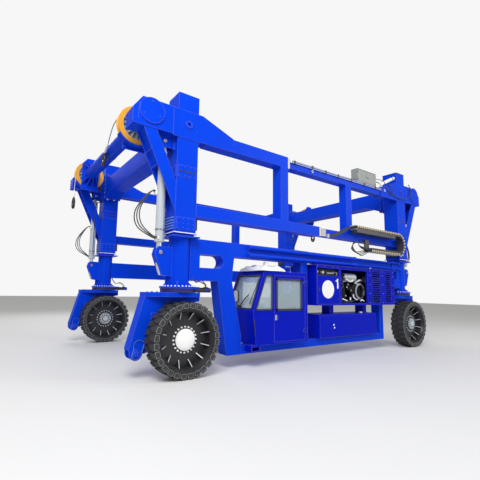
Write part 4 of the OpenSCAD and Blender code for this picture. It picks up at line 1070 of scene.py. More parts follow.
@dataclass
class Posts:
    """Pad housings' bolts, strips painted pale blue as highlights, cylinder fittings and hoses of the four
    posts.

    Attributes:
        face: Outer faces of a pad housing from the post axis.
        low_pad: Lower edge of the lower pad housing.
        high_pad: Lower edge of the upper pad housing.
        pad_height: Height of a pad housing.
        strip_pitch: Distance between two strips with the painted highlight.
        mouth: Outer faces of the post's mouth from its axis.
        mouth_z: Lower and upper edge of the mouth's lip.
        barrel_radius: Radius of the lift cylinder's barrel.
        top_pin_z: Height of the lift cylinder's upper pin.
    """

    face: float = 0.234
    low_pad: float = 2.675
    high_pad: float = 3.685
    pad_height: float = 0.23
    strip_pitch: float = 0.0525
    mouth: float = 0.2505
    mouth_z: tuple[float, float] = (2.6045, 2.6195)
    barrel_radius: float = 0.082
    top_pin_z: float = 4.365

    def _housings(self, corner: Corner) -> None:
        """Bolts the pad housings and marks the adjusting screws.

        Args:
            corner: The leg whose parts are made.
        """
        heads, slots, face = Form(corner.post), Form(corner.post), self.face
        for z in (self.low_pad, self.high_pad):
            rows = [z + 0.03, z + self.pad_height / 2, z + self.pad_height - 0.03]
            for u in (-0.165, -0.055, 0.055, 0.165):
                for row in rows if z == self.low_pad else rows[::2]:
                    heads.bolts([(u, face, row)], AXIS_Y, 0.009, 0.01)
                    heads.bolts([(u, -face, row)], (0, -1, 0), 0.009, 0.01)
                    heads.bolts([(face, u, row)], AXIS_X, 0.009, 0.008)
        for u in (-0.15, -0.075, 0.0, 0.075, 0.15):
            for turn in (1, -1):
                slots.lathe([(0.024, 0), (0.024, 0.004), (0.018, 0.006), (TIP, 0.006)],
                            (u, turn * face, self.high_pad + self.pad_height / 2), (0, turn, 0), 20)
        heads.place("pad_bolts_" + corner.tag, BLUE, corner.frame)
        slots.place("pad_screws_" + corner.tag, BLACK, corner.frame)

    def _strips(self, corner: Corner) -> None:
        """Lays the lip round the mouth, the strips at the front painted pale blue as highlights, and the dark
        pad at the rear.

        Args:
            corner: The leg whose parts are made.
        """
        tag, body = corner.tag, corner.frame
        light, dark, lip = (Form(corner.post) for _ in range(3))
        # Boxes over the front strips, in pale blue as a painted highlight
        for i in range(5):
            z = self.low_pad + i * self.strip_pitch
            light.box((0.2325, -0.1865, z - 0.001), (0.2535, 0.1865, z + 0.021))
        (low, high), out, inner = self.mouth_z, self.mouth, self.mouth - 0.001
        lip.box((-out, -out, low), (out, -inner, high))
        lip.box((-out, inner, low), (out, out, high))
        lip.box((inner, -inner, low), (out, inner, high))
        lip.place("mouth_lip_" + tag, WHITE, body, "wear_pad")
        light.place("pad_strip_highlights_" + tag, HIGHLIGHT_BLUE, body)
        dark.box((-0.298, -0.15, 2.7), (-0.2245, 0.15, 2.925))
        dark.bolts([(-0.298, u, z) for u in (-0.12, 0.0, 0.12) for z in (2.73, 2.895)], (-1, 0, 0), 0.008,
                   0.008)
        dark.place("rear_pad_" + tag, BLACK, body, bevel=0.003)

    def _cylinder(self, corner: Corner) -> None:
        """Caps the upper pin and gives the barrel its clamps and screws.

        Args:
            corner: The leg whose parts are made.
        """
        low, high = self.barrel_radius - 0.004, self.barrel_radius + 0.006
        caps = Form(corner.post)
        for way in (1, -1):
            pin_cap(caps, way, self.top_pin_z)
        for z in (2.64, 4.02):
            caps.lathe([(low, 0), (high, 0), (high, 0.03), (low, 0.03)], (LIFT_X, 0, z), AXIS_Z, 40,
                       closed=True)
        caps.bolts(around((LIFT_X, 0, 2.519), "z", 0.083, 8), AXIS_Z, 0.006, 0.012)
        caps.place("barrel_fittings_" + corner.tag, STEEL, corner.frame)

    def _hoses(self, corner: Corner) -> None:
        """Leads two oil lines up the barrel and three loops beside it, with their white fittings.

        Args:
            corner: The leg whose parts are made.
        """
        lines, fittings = Form(corner.post), Form(corner.post)
        lines.hose([(LIFT_X, -0.118, 2.58), (LIFT_X, -0.135, 2.64), (0.43, -0.132, 2.9), (0.43, -0.13, 3.4),
                    (0.43, -0.13, 3.9), (0.4, -0.125, 4.1), (0.3, -0.118, 4.2), (0.236, -0.118, 4.23)], 0.009)
        lines.hose([(LIFT_X, -0.118, 4.08), (0.41, -0.14, 4.12), (0.32, -0.145, 4.16),
                    (0.236, -0.145, 4.18)], 0.009)
        for i in range(3):
            bow = 0.3 + 0.045 * i
            lines.hose([(0.5, -0.02 - 0.03 * i, 3.37), (0.56, -0.03 - 0.03 * i, 3.4),
                        (0.58 + bow * 0.3, -0.06, 3.28), (0.5 + bow, -0.06, 3.0 - 0.02 * i),
                        (0.5 + bow * 0.9, -0.04, 2.74 - 0.03 * i), (0.56, -0.02, 2.545 - 0.02 * i),
                        (0.46, 0.088, 2.5 - 0.012 * i)], 0.011, 10, 6)
        lines.place("barrel_hoses_" + corner.tag, TRIM, corner.frame)
        fittings.box((0.495, -0.1, 3.33), (0.53, 0.0, 3.41))
        fittings.rod((0.505, -0.05, 3.4), (0.505, -0.05, 3.46), 0.02, 12)
        fittings.rod((0.47, 0.075, 2.47), (0.47, 0.075, 2.52), 0.02, 12)
        fittings.place("hose_fittings_" + corner.tag, WHITE, corner.frame, bevel=0.002)

    def _brace(self, corner: Corner) -> None:
        """Draws the weld seams along the brace and the bracket's bolts.

        Args:
            corner: The leg whose parts are made.
        """
        seams, heads = Form(corner.post), Form(corner.post)
        for y in (0.2235, -0.1125):
            seams.hose([(0.2275, y, 3.02), (0.2275, y, 3.56)], 0.004, 8, 2)
        seams.place("brace_welds_" + corner.tag, BLUE, corner.frame)
        heads.bolts([(0.245, y, z) for y in (-0.098, 0.098) for z in (4.25, 4.34, 4.43)], AXIS_X, 0.009,
                    0.012)
        heads.place("bracket_bolts_" + corner.tag, BLUE, corner.frame)

    def build(self) -> None:
        """Dresses the four posts."""
        for corner in Corner:
            self._housings(corner)
            self._strips(corner)
            self._cylinder(corner)
            self._hoses(corner)
            self._brace(corner)


@dataclass
class Sheaves:
    """Hub bolts and guards of the four sheaves, and the lifting ropes with their sockets and hooks.

    Attributes:
        middle: Middle plane of a sheave from the machine's centre line.
        hub_face: Face of the hub from that plane.
        rope: Radius of a lifting rope.
        groove: Radius at which the rope lies.
        rope_end: Height of a straight rope's socket.
        guard: Inner and outer radius of the guard.
        guard_y: Inner and outer face of the guard from the machine's centre line.
    """

    middle: float = 1.92
    hub_face: float = 0.085
    rope: float = 0.011
    groove: float = 0.364
    rope_end: float = 4.18
    guard: tuple[float, float] = (0.404, 0.416)
    guard_y: tuple[float, float] = (1.809, 1.992)

    def _hub(self, corner: Corner) -> None:
        """Bolts the hub and lays a light edge ring on both faces.

        Args:
            corner: The leg whose parts are made.
        """
        x = HALF_BASE + SHEAVE_X
        hub = Form(corner.quarter)
        for way in (1, -1):
            face = self.middle + way * self.hub_face
            hub.bolts(around((x, face, SHEAVE_Z), "y", 0.122, 8, 22.5), (0, way, 0), 0.009, 0.009)
            hub.torus((x, face - way * 0.021, SHEAVE_Z), AXIS_Y, 0.296, 0.004, 72)
        hub.place("sheave_hub_" + corner.tag, ZINC, "sheave_" + corner.tag, "sheave_yellow")

    def _hook(self, corner: Corner, centre: Point) -> None:
        """Draws the closed oval hook with its eye and its pin.

        Args:
            corner: The leg whose quarter is meant.
            centre: Middle of the oval.
        """
        x, y, z = centre
        rings = []
        for i in range(24):
            turn = 2 * math.pi * i / 24
            out = Vector((0, math.cos(turn), math.sin(turn)))
            middle = Vector((x, y + 0.078 * math.cos(turn), z + 0.125 * math.sin(turn)))
            rings.append([tuple(middle + 0.034 * (math.cos(a) * out + math.sin(a) * Vector(AXIS_X)))
                          for a in (2 * math.pi * k / 12 for k in range(12))])
        hook = Form(corner.quarter).rings(rings, closed=True)
        hook.box((x - 0.012, y - 0.06, z - 0.07), (x + 0.012, y + 0.06, z - 0.02))
        hook.box((x - 0.022, y - 0.024, z + 0.105), (x + 0.022, y + 0.024, z + 0.175))
        hook.place("rope_hook_" + corner.tag, BLACK, corner.frame)
        pin = Form(corner.quarter).rod((x - 0.03, y, z - 0.03), (x + 0.03, y, z - 0.03), 0.02, 16)
        pin.place("hook_pin_" + corner.tag, WHITE, corner.frame)

    def _rope(self, corner: Corner) -> None:
        """Leads the rope over the sheave down to its white socket and black hook.

        The front left rope is slack: it runs along to the cross tube, where a strap holds its hook.

        Args:
            corner: The leg whose parts are made.
        """
        tag, body, place = corner.tag, corner.frame, corner.quarter
        cx, cz, r, y = HALF_BASE + SHEAVE_X, SHEAVE_Z, self.groove, self.middle
        slack = corner is Corner.FL
        over = [(cx + r * math.cos(math.radians(a)), y, cz + r * math.sin(math.radians(a)))
                for a in range(165, 19 if slack else -1, -15)]
        end = (4.846, 0.72, 4.79) if slack else (cx + r + 0.012, y, self.rope_end + 0.1)
        hung = [(4.955, 1.52, 4.935), (4.9, 1.1, 4.895)] if slack else [(cx + r + 0.006, y, cz - 0.3)]
        start = cx - r * 0.97
        path = [(start + 0.02, y, cz - 0.28), (start, y, cz - 0.02), *over, *hung, end]
        Form(place).hose(path, self.rope, 10, 3).place("rope_" + tag, STEEL, body)
        eye = (4.806, 0.3, 4.56) if slack else (end[0], y, self.rope_end - 0.26)
        along = Vector((eye[0], eye[1], eye[2] + 0.17)) - Vector(end)
        reach = along.length
        socket = Form(place).lathe([(0.0125, -0.03), (0.02, 0), (0.026, reach * 0.3), (0.03, reach * 0.45),
                                    (0.024, reach * 0.95), (TIP, reach)], end, tuple(along), 20)
        socket.place("rope_socket_" + tag, WHITE, body)
        self._hook(corner, eye)
        if slack:
            strap = Form(place)
            strap.lathe([(0.1555, -0.02), (0.16, -0.02), (0.16, 0.02), (0.1555, 0.02)], (cx, 0.16, cz),
                        AXIS_Y, 48, closed=True)
            strap.hose([(4.784, 0.16, 4.76), (4.808, 0.22, 4.64), (4.806, 0.27, 4.52), (4.806, 0.3, 4.45)],
                       0.012)
            strap.place("hook_strap", BLACK, body)
        wedge = Form(place)
        wedge.box((start - 0.022, y - 0.03, cz - 0.4), (start + 0.062, y + 0.03, cz - 0.27))
        wedge.rod((start + 0.02, y - 0.045, cz - 0.37), (start + 0.02, y + 0.045, cz - 0.37), 0.018)
        wedge.place("rope_anchor_" + tag, BLACK, body, bevel=0.004)

    def _guard(self, corner: Corner) -> None:
        """Bends the blue guard round the sheave's lower half, out from the star plate.

        Args:
            corner: The leg whose parts are made.
        """
        (r0, r1), (y0, y1) = self.guard, self.guard_y
        rings = []
        for angle in range(-32, -133, -5):
            u, w = math.cos(math.radians(angle)), math.sin(math.radians(angle))
            rings.append([(HALF_BASE + SHEAVE_X + r * u, y, SHEAVE_Z + r * w)
                          for r, y in ((r0, y0), (r1, y0), (r1, y1), (r0, y1))])
        guard = Form(corner.quarter).rings(rings)
        guard.place("sheave_guard_" + corner.tag, BLUE, corner.frame, bevel=0.001)

    def build(self) -> None:
        """Dresses the four sheaves."""
        for corner in Corner:
            self._hub(corner)
            self._rope(corner)
            self._guard(corner)


@dataclass
class CrossMembers:
    """Bolts of the star plates, the splices and the anchor bosses, front and rear.

    Attributes:
        splice: Inner face of the splice plate from the machine's centre line.
        splice_rows: Height of its lower and upper row of bolts.
        boss: Middle of the anchor bosses from the centre line, and their underside.
        star_y: Face of the star plate from the centre line.
        star_rib: Thickness of the plate's ribs.
    """

    splice: float = 2.14
    splice_rows: tuple[float, float] = (4.2675, 5.0425)
    boss: tuple[float, float] = (2.045, 4.2355)
    star_y: float = 1.78
    star_rib: float = 0.03

    def build(self) -> None:
        """Dresses both cross beams and both tubes."""
        for corner in Corner:
            bolts, star = Form(corner.quarter), Form(corner.quarter)
            rows = [[(HALF_BASE + u, self.splice, z) for u in (-0.18, -0.06, 0.06, 0.18)]
                    for z in self.splice_rows]
            rows += [[(HALF_BASE + x, self.splice, 4.32 + 0.13 * i) for i in range(6)]
                     for x in (-0.2375, 0.2375)]
            for row in rows:
                bolts.bolts(row, (0, -1, 0), 0.007, 0.01)
            bolts.bolts([(HALF_BASE + x, *self.boss) for x in (-0.03, 0.17)], (0, 0, -1), 0.028, 0.03)
            bolts.place("splice_bolts_" + corner.tag, ZINC, corner.frame, "blue_paint")
            x, y, z = HALF_BASE + SHEAVE_X, self.star_y, SHEAVE_Z
            star.bolts([(x + u, y + self.star_rib, z + w) for w in (-0.42, -0.25, 0.25)
                        for u in (-0.19, 0.19)], AXIS_Y, 0.012, 0.012)
            star.torus((x, y, z), AXIS_Y, 0.158, 0.006, 40)
            star.place("star_bolts_" + corner.tag, BLUE, corner.frame)


@dataclass
class SideFrames:
    """Seams, pipes, cables and covers of the side frames.

    Attributes:
        face: Outer face of the deep beam from the machine's centre line.
        hole_z: Height of the lifting hole over each post.
        pipe: Radius of the long oil pipes.
        disc_radius: Radius of the cover disc.
        disc_face: Outer face of the cover disc from the centre line.
        disc_axis: Middle of the cover disc, along the machine and up.
        pads: Front end, underside and height of the upper and the lower slide pad.
        pad_rows: Blocks that a slide pad is cut into along its height.
    """

    face: float = 2.712
    hole_z: float = 4.752
    pipe: float = 0.011
    disc_radius: float = 0.245
    disc_face: float = 2.737
    disc_axis: tuple[float, float] = (4.62, 4.8)
    pads: tuple[tuple[str, Point], ...] = (("top", (1.15, 4.475, 0.27)), ("low", (0.06, 2.955, 0.235)))
    pad_rows: int = 6

    def _covers(self, corner: Corner) -> None:
        """Bolts the cover disc and rings the lifting hole.

        Args:
            corner: The leg whose parts are made.
        """
        x, z = self.disc_axis
        seam, heads = Form(corner.quarter), Form(corner.quarter)
        seam.torus((x, self.disc_face - 0.002, z), AXIS_Y, self.disc_radius - 0.004, 0.004, 72)
        seam.torus((HALF_BASE, self.disc_face - 0.007, self.hole_z), AXIS_Y, 0.058, 0.004, 40)
        seam.hose([(4.873, self.face, 4.58), (4.873, self.face, 4.91)], 0.004, 8, 2)
        seam.place("cover_seams_" + corner.tag, BLUE, corner.frame)
        heads.bolts(around((x, self.disc_face, z), "y", 0.175, 3, 90), AXIS_Y, 0.013, 0.01)
        heads.bolts([(4.02, self.face, 4.66), (4.02, self.face, 4.93), (3.66, self.face, 4.66)], AXIS_Y,
                    0.007, 0.008)
        heads.place("cover_bolts_" + corner.tag, BLUE, corner.frame)

    def _pipes(self) -> None:
        """Runs the two oil pipes with their clamps along the left inner top chord."""
        pipes, clamps, ends = Form(), Form(), Form()
        for y, z in ((2.7, 4.652), (2.7, 4.69)):
            pipes.rod((1.06, y, z), (-2.95, y, z), self.pipe, 12)
            ends.rod((1.078, y, z), (1.02, y, z), 0.017, 6)
            ends.rod((-2.97, y, z), (-2.9, y, z), 0.017, 6)
        for x in (0.92, 0.3, -0.22, -0.73, -1.3, -1.9, -2.45, -2.84):
            clamps.box((x - 0.02, 2.675, 4.63), (x + 0.02, 2.718, 4.712))
            clamps.bolts([(x, 2.718, 4.671)], AXIS_Y, 0.007, 0.006)
        pipes.place("chord_pipes", ZINC, "rear_frame")
        clamps.place("pipe_clamps", BLACK, "rear_frame", bevel=0.003)
        ends.place("pipe_ends", WHITE, "rear_frame")
        ties = Form()
        ties.hose([(0.3, 2.7, 4.64), (0.32, 2.712, 4.56), (0.28, 2.708, 4.545), (0.27, 2.7, 4.64)], 0.005)
        ties.place("cable_ties", WHITE, "rear_frame")
        cable = Form()
        cable.hose([(0.3, 2.69, 4.726), (-0.1, 2.6, 4.735), (-0.6, 2.62, 4.728), (-1.1, 2.64, 4.734),
                    (-1.66, 2.6, 4.76)], 0.01)
        cable.hose([(0.4, 2.6, 4.73), (-0.3, 2.57, 4.734), (-0.9, 2.58, 4.74), (-1.66, 2.56, 4.8)], 0.008)
        cable.place("chord_cables", TRIM, "rear_frame")
        drop = Form()
        drop.hose([(-2.62, 2.56, 4.95), (-2.8, 2.66, 4.86), (-3.0, 2.715, 4.76), (-3.3, 2.735, 4.62),
                   (-3.72, 2.745, 4.545), (-4.1, 2.75, 4.6), (-4.36, 2.752, 4.78), (-4.4, 2.75, 4.95),
                   (-4.28, 2.74, 5.1)], 0.012)
        drop.hose([(-2.62, 2.54, 5.02), (-2.92, 2.68, 4.98), (-3.18, 2.732, 4.86), (-3.35, 2.735, 4.7),
                   (-3.28, 2.728, 4.58), (-3.02, 2.712, 4.62), (-2.84, 2.66, 4.74)], 0.009)
        drop.place("rear_cable_loops", TRIM, "rear_frame")

    def _rear_cylinder(self) -> None:
        """Lays the white cylinder along the rear haunch, with its dark cap plate over the post."""
        start, end = Vector((-2.66, 2.742, 4.8)), Vector((-3.46, 2.742, 5.17))
        along = (end - start).normalized()
        tank = Form()
        tank.lathe([(TIP, -0.02), (0.03, -0.015), (0.046, 0.005), (0.05, 0.03), (0.05, 0.78), (0.044, 0.81),
                    (0.03, 0.83), (TIP, 0.84)], tuple(start), tuple(along), 32)
        tank.place("haunch_cylinder", WHITE, "rear_frame")
        bands = Form()
        for reach in (0.14, 0.66):
            bands.lathe([(0.0495, 0), (0.056, 0), (0.056, 0.03), (0.0495, 0.03)],
                        tuple(start + reach * along), tuple(along), 32, closed=True)
            foot = start + (reach + 0.015) * along
            bands.box((foot.x - 0.02, 2.69, foot.z - 0.055), (foot.x + 0.02, 2.712, foot.z + 0.055))
        bands.place("haunch_bands", BLACK, "rear_frame", bevel=0.002)
        cap = Form()
        cap.box((-4.085, 2.235, 5.38), (-3.615, 2.715, 5.389))
        cap.place("rear_post_cap", BLACK, "rear_frame", bevel=0.002)

    def _ribs(self, form: Form, pad: Point, starts: tuple[float, float], length: float, inner: float) -> None:
        """Cuts a slide pad into two columns of blocks.

        Args:
            form: The form that takes the blocks.
            pad: Front end, underside and height of the pad.
            starts: Rear end of each column, back from the pad's front end.
            length: Length of a block along the machine.
            inner: Inner face of a block from the machine's centre line.
        """
        x, z, height = pad
        pitch = (height - 0.02) / self.pad_rows
        for i in range(self.pad_rows):
            low = z + 0.012 + i * (height - 0.02) / self.pad_rows
            for start in starts:
                form.box((x - start, inner, low), (x - start + length, 2.7065, low + pitch - 0.01))

    def _pads(self) -> None:
        """Ribs the white slide pads, and runs the lower ones on along the inner chord."""
        for side, name in ((1, "left"), (-1, "right")):
            for level, pad in self.pads:
                ribs = Form(on_side(side))
                self._ribs(ribs, pad, (0.058, 0.028), 0.025, 2.6985)
                if level == "low":
                    self._ribs(ribs, pad, (0.235, 0.15), 0.075, 2.68)
                ribs.place("pad_ribs_%s_%s" % (level, name), PAD, "front_frame", bevel=0.002)

    def _seams(self) -> None:
        """Draws the weld seams round the uprights' ends."""
        for side, name in ((1, "left"), (-1, "right")):
            seam = Form(on_side(side))
            for x in (1.15, 1.38):
                seam.hose([(x, 2.7005, 3.19), (x, 2.7005, 4.475)], 0.003, 6, 2)
            seam.hose([(1.385, 2.699, 3.1915), (3.6, 2.699, 3.1915)], 0.004, 6, 2)
            seam.place("frame_seams_" + name, BLUE, "front_frame")

    def build(self) -> None:
        """Dresses both side frames."""
        for corner in Corner:
            self._covers(corner)
        self._pipes()
        self._rear_cylinder()
        self._pads()
        self._seams()


@dataclass
class EnergyChain:
    """Cream cross bars, gold studs, hoses and end clamps of the energy chain.

    Attributes:
        outer_face: Outer face of the links from the machine's centre line.
        link: Length of a link.
        radius: Radius of the loop's middle.
        half_height: Half the height of a link, with its cross bar.
        middle: Height of the loop's axis.
        rear: Place of the loop's axis along the machine.
        top_links: Links of the upper run.
        low_links: Links of the lower run.
        bend_links: Links of the bend.
        stud_drop: How far a stud lies inside the cross bars.
    """

    outer_face: float = 2.91
    link: float = 0.09
    radius: float = 0.275
    half_height: float = 0.0505
    middle: float = 3.025
    rear: float = -3.27
    top_links: int = 23
    low_links: int = 16
    bend_links: int = 10
    stud_drop: float = 0.03

    def _links(self) -> None:
        """Marks each link with its pale cross bar at the loop's outer edge and a stud on its side."""
        reach = self.radius + self.half_height
        spots = [(self.rear + (i + 0.45) * self.link, self.middle + way * reach, 0.0)
                 for way, count in ((1, self.top_links), (-1, self.low_links)) for i in range(count)]
        for i in range(self.bend_links):
            turn = math.radians(90 + (i + 0.5) * 180 / self.bend_links)
            spots.append((self.rear + reach * math.cos(turn), self.middle + reach * math.sin(turn),
                          turn - math.pi / 2))
        edges, studs = Form(), Form()
        for x, z, turn in spots:
            along, out = heading(turn)
            centre = Vector((x, 0, z))
            edges.rings(bars(centre, along, out, [(-0.02, -0.012), (0.02, -0.012), (0.02, 0.006),
                                                  (-0.02, 0.006)], (2.715, self.outer_face + 0.003)))
            centre -= self.stud_drop * (1 if z > self.middle - self.radius else -1) * out
            studs.rings(bars(centre, along, out, [(-0.026, -0.013), (0.026, -0.013), (0.026, 0.013),
                                                  (-0.026, 0.013)],
                             (self.outer_face - 0.004, self.outer_face + 0.005)))
        edges.place("chain_bars", CREAM, "rear_frame", bevel=0.001)
        studs.place("chain_studs", STUD, "rear_frame", bevel=0.001)

    def _hoses(self) -> None:
        """Leads the upper end's hoses down to the low chord, and bends those of the lower end."""
        bundle = Form()
        for i in range(5):
            y = 2.745 + 0.032 * i
            bundle.hose([(-1.16, y, 3.305 - 0.006 * (i % 2)), (-1.0, y, 3.29),
                         (-0.78, y - 0.01 * i, 3.2 - 0.012 * i), (-0.5, 2.735, 3.07 - 0.016 * i),
                         (-0.24, 2.722, 3.015 - 0.014 * i)], 0.011)
        bundle.place("chain_hoses_top", TRIM, "rear_frame")
        clamp = Form()
        clamp.box((-1.235, 2.705, 3.345), (-1.165, 2.905, 3.362))
        clamp.box((-1.235, 2.705, 3.248), (-1.165, 2.905, 3.262))
        clamp.bolts([(-1.2, y, 3.362) for y in (2.73, 2.805, 2.88)], AXIS_Z, 0.008, 0.01)
        clamp.box((-0.27, 2.677, 2.945), (-0.23, 2.735, 3.035))
        clamp.place("chain_clamps", ZINC, "rear_frame", bevel=0.002)
        lower = Form()
        for i in range(4):
            y = 2.75 + 0.035 * i
            lower.hose([(-1.86, y, 2.75), (-1.74, y, 2.745), (-1.6, y - 0.01, 2.79), (-1.54, 2.715, 2.86),
                        (-1.58, 2.7, 2.93), (-1.66, 2.695, 2.985 + 0.012 * i)], 0.01)
        for i in range(4):
            y, drop = 2.735 + 0.03 * i, 0.03 * i
            lower.hose([(-1.86, y, 2.735), (-1.66, y, 2.715 - drop), (-1.36 - drop, y - 0.01, 2.66 - drop),
                        (-1.2 - drop, 2.72, 2.74), (-1.3, 2.7, 2.86 + 0.01 * i), (-1.44, 2.695, 2.94)], 0.011)
        lower.place("chain_hoses_low", TRIM, "rear_frame")

    def build(self) -> None:
        """Dresses the energy chain."""
        self._links()
        self._hoses()


@dataclass
class Cab:
    """Gaskets, wiper, mirror, handle and the crumpled white cover of the cab.

    Attributes:
        side: Outer face of the cab from the machine's centre line.
        inner: Inner face of the cab from the machine's centre line.
        belt: Front edge at the belt line, along the machine and up.
        brow: Front edge at the roof, along the machine and up.
        sash: Low and high corner of the door's window, along the machine and up.
        screen: Low and high edge of the windscreen's gasket.
        cover: Low and high corner of the roof cover.
        folds: Strips of the roof cover across and along the machine.
        beacon: Foot of the wrapped beacon.
    """

    side: float = 2.85
    inner: float = 1.93
    belt: tuple[float, float] = (2.31, 1.14)
    brow: tuple[float, float] = (2.01, 1.99)
    sash: tuple[float, float, float, float] = (0.89, 1.16, 1.65, 1.82)
    screen: tuple[float, float] = (1.185, 1.885)
    cover: tuple[Point, Point] = ((1.4, 2.05, 1.991), (2.1, 2.872, 2.135))
    folds: tuple[int, int] = (26, 44)
    beacon: Point = (1.76, 2.6, 2.12)

    def _front(self, y: float, z: float, off: float = 0.0) -> Point:
        """Finds the point of the slanted front at a Y and a height, standing off it by a length."""
        slope = (self.belt[0] - self.brow[0]) / (self.brow[1] - self.belt[1])
        return (self.belt[0] - (z - self.belt[1]) * slope + off, y, z + off * slope)

    def _gaskets(self) -> None:
        """Rings the side window, the door's window and the windscreen with black rubber."""
        fixed, door = Form(), Form()
        quarter = [(1.79, 1.17), (2.232, 1.17), (1.956, 1.885), (1.79, 1.885)]
        fixed.strip(quarter, 0.026, self.side - 0.004, self.side + 0.005)
        (low, high), near, far = self.screen, self.side - 0.075, self.inner + 0.075
        corners = [self._front(y, z, 0.004) for y, z in ((near, low), (far, low), (far, high),
                                                         (near, high), (near, low))]
        for start, end in zip(corners, corners[1:]):
            fixed.hose([start, end], 0.014, 8, 2)
        fixed.place("cab_gaskets", RUBBER, "left_front", "cab_trim")
        x0, z0, x1, z1 = self.sash
        door.strip([(x0, z0), (x1, z0), (x1, z1), (x0, z1)], 0.044, self.side - 0.004, self.side + 0.006)
        door.place("door_gasket", RUBBER, "cab_door", "cab_trim")

    def _wiper(self) -> None:
        """Lays the wiper's double arm and blade on the windscreen."""
        wiper = Form()
        for drop in (0.0, -0.04):
            wiper.hose([self._front(2.39 - drop, 1.215, 0.035), self._front(2.5 - drop * 0.5, 1.34, 0.05),
                        self._front(2.615, 1.48 + drop * 0.6, 0.04)], 0.007, 8, 4)
        wiper.hose([self._front(2.69, 1.28, 0.022), self._front(2.725, 1.47, 0.02),
                    self._front(2.755, 1.64, 0.02), self._front(2.77, 1.8, 0.022)], 0.008, 8, 4)
        wiper.rod(self._front(2.39, 1.215, 0.0), self._front(2.39, 1.215, 0.05), 0.02, 16)
        wiper.place("wiper", BLACK, "left_front", "cab_trim")

    def _mirror(self) -> None:
        """Hangs the round-cornered mirror on its arm before the windscreen."""
        x, y, z = 2.365, 2.33, 1.44
        outline = rounded(y, z, 0.075, 0.125, 0.04)
        back = Form().prism(outline, x - 0.03, x, "x")
        back.hose([(x - 0.015, y, z - 0.11), (x - 0.02, y + 0.01, z - 0.19), (x - 0.05, y + 0.03, 1.205)],
                  0.011, 10, 4)
        back.place("mirror_back", BLACK, "left_front", "cab_trim", 0.008)
        face = Form().prism(rounded(y, z, 0.066, 0.116, 0.034), x, x + 0.004, "x")
        face.place("mirror_face", CHROME, "left_front")

    def _cover_point(self, u: float, v: float) -> Point:
        """Finds a point of the crumpled cover.

        Args:
            u: Share of its length along the machine.
            v: Share of its width.

        Returns:
            The point.
        """
        low, size = self.cover[0], [b - a for a, b in zip(*self.cover)]
        rise = (1 - abs(2 * u - 1) ** 7) ** 0.5 * (1 - abs(2 * v - 1) ** 7) ** 0.5
        pull = 0.06 * math.sin(11 * u + 3.0 * math.sin(7 * v)) + 0.05 * math.sin(23 * v + 5 * u * u)
        fold = 0.5 + 0.5 * math.sin(19 * u + 4 * math.sin(9 * v + 2 * u))
        height = rise * (0.62 + pull + 0.16 * fold + 0.16 * math.sin(math.pi * u))
        return (low[0] + size[0] * (u + 0.01 * math.sin(31 * v) * rise),
                low[1] + size[1] * (v + 0.012 * math.sin(27 * u) * (1 - rise)),
                low[2] + size[2] * min(max(height, 0.02), 1.0))

    def _cover(self) -> None:
        """Lays the crumpled white cover over the roof, with the wrapped beacon on it."""
        low, high = self.cover
        across, along = self.folds
        skin = []
        for u in (i / along for i in range(along + 1)):
            ring = [self._cover_point(u, j / across) for j in range(across + 1)]
            ring += [(low[0] + (high[0] - low[0]) * u, low[1] + (high[1] - low[1]) * (across - j) / across,
                      low[2] + 0.001) for j in range(across + 1)]
            skin.append(ring)
        cover, hem = Form().rings(skin), Form()
        cover.lathe([(0.105, -0.03), (0.085, -0.004), (0.054, 0.006), (0.046, 0.02), (0.05, 0.05),
                     (0.046, 0.076), (0.03, 0.083), (TIP, 0.084)], self.beacon, AXIS_Z, 32)
        piece = cover.place("roof_cover", WHITE, "left_front")
        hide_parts("cab_roof")
        hem.hose([(low[0] + 0.02, high[1] + 0.002, low[2] + 0.004), (1.65, high[1] + 0.004, low[2] + 0.01),
                  (1.9, high[1] + 0.002, low[2] + 0.003), (high[0] - 0.03, high[1], low[2] + 0.008)],
                 0.006, 8, 5)
        hem.place("cover_hem", WHITE, "left_front")

    def _door_fittings(self) -> None:
        """Adds the latch plate with its lock, the door's screws and the cab's grab rail."""
        fittings = Form()
        fittings.prism(rounded(1.672, 1.0, 0.03, 0.055, 0.012), self.side, self.side + 0.005)
        fittings.bolts([(1.672, self.side + 0.005, 0.965)], AXIS_Y, 0.012, 0.008, 16)
        fittings.place("door_latch", ZINC, "cab_door")
        screws = Form().bolts([(0.8, self.side + 0.002, z) for z in (0.66, 0.72, 1.72, 1.78)], AXIS_Y,
                              0.007, 0.006)
        screws.place("door_screws", ZINC, "cab_door")
        rail = Form()
        rail.hose([(2.225, self.side - 0.02, 0.62), (2.262, self.side + 0.02, 0.66),
                   (2.292, self.side + 0.02, 0.92), (2.285, self.side - 0.02, 0.98)], 0.011, 10, 4)
        rail.place("cab_grab_rail", BLACK, "left_front")

    def build(self) -> None:
        """Dresses the cab."""
        self._gaskets()
        self._wiper()
        self._mirror()
        self._cover()
        self._door_fittings()


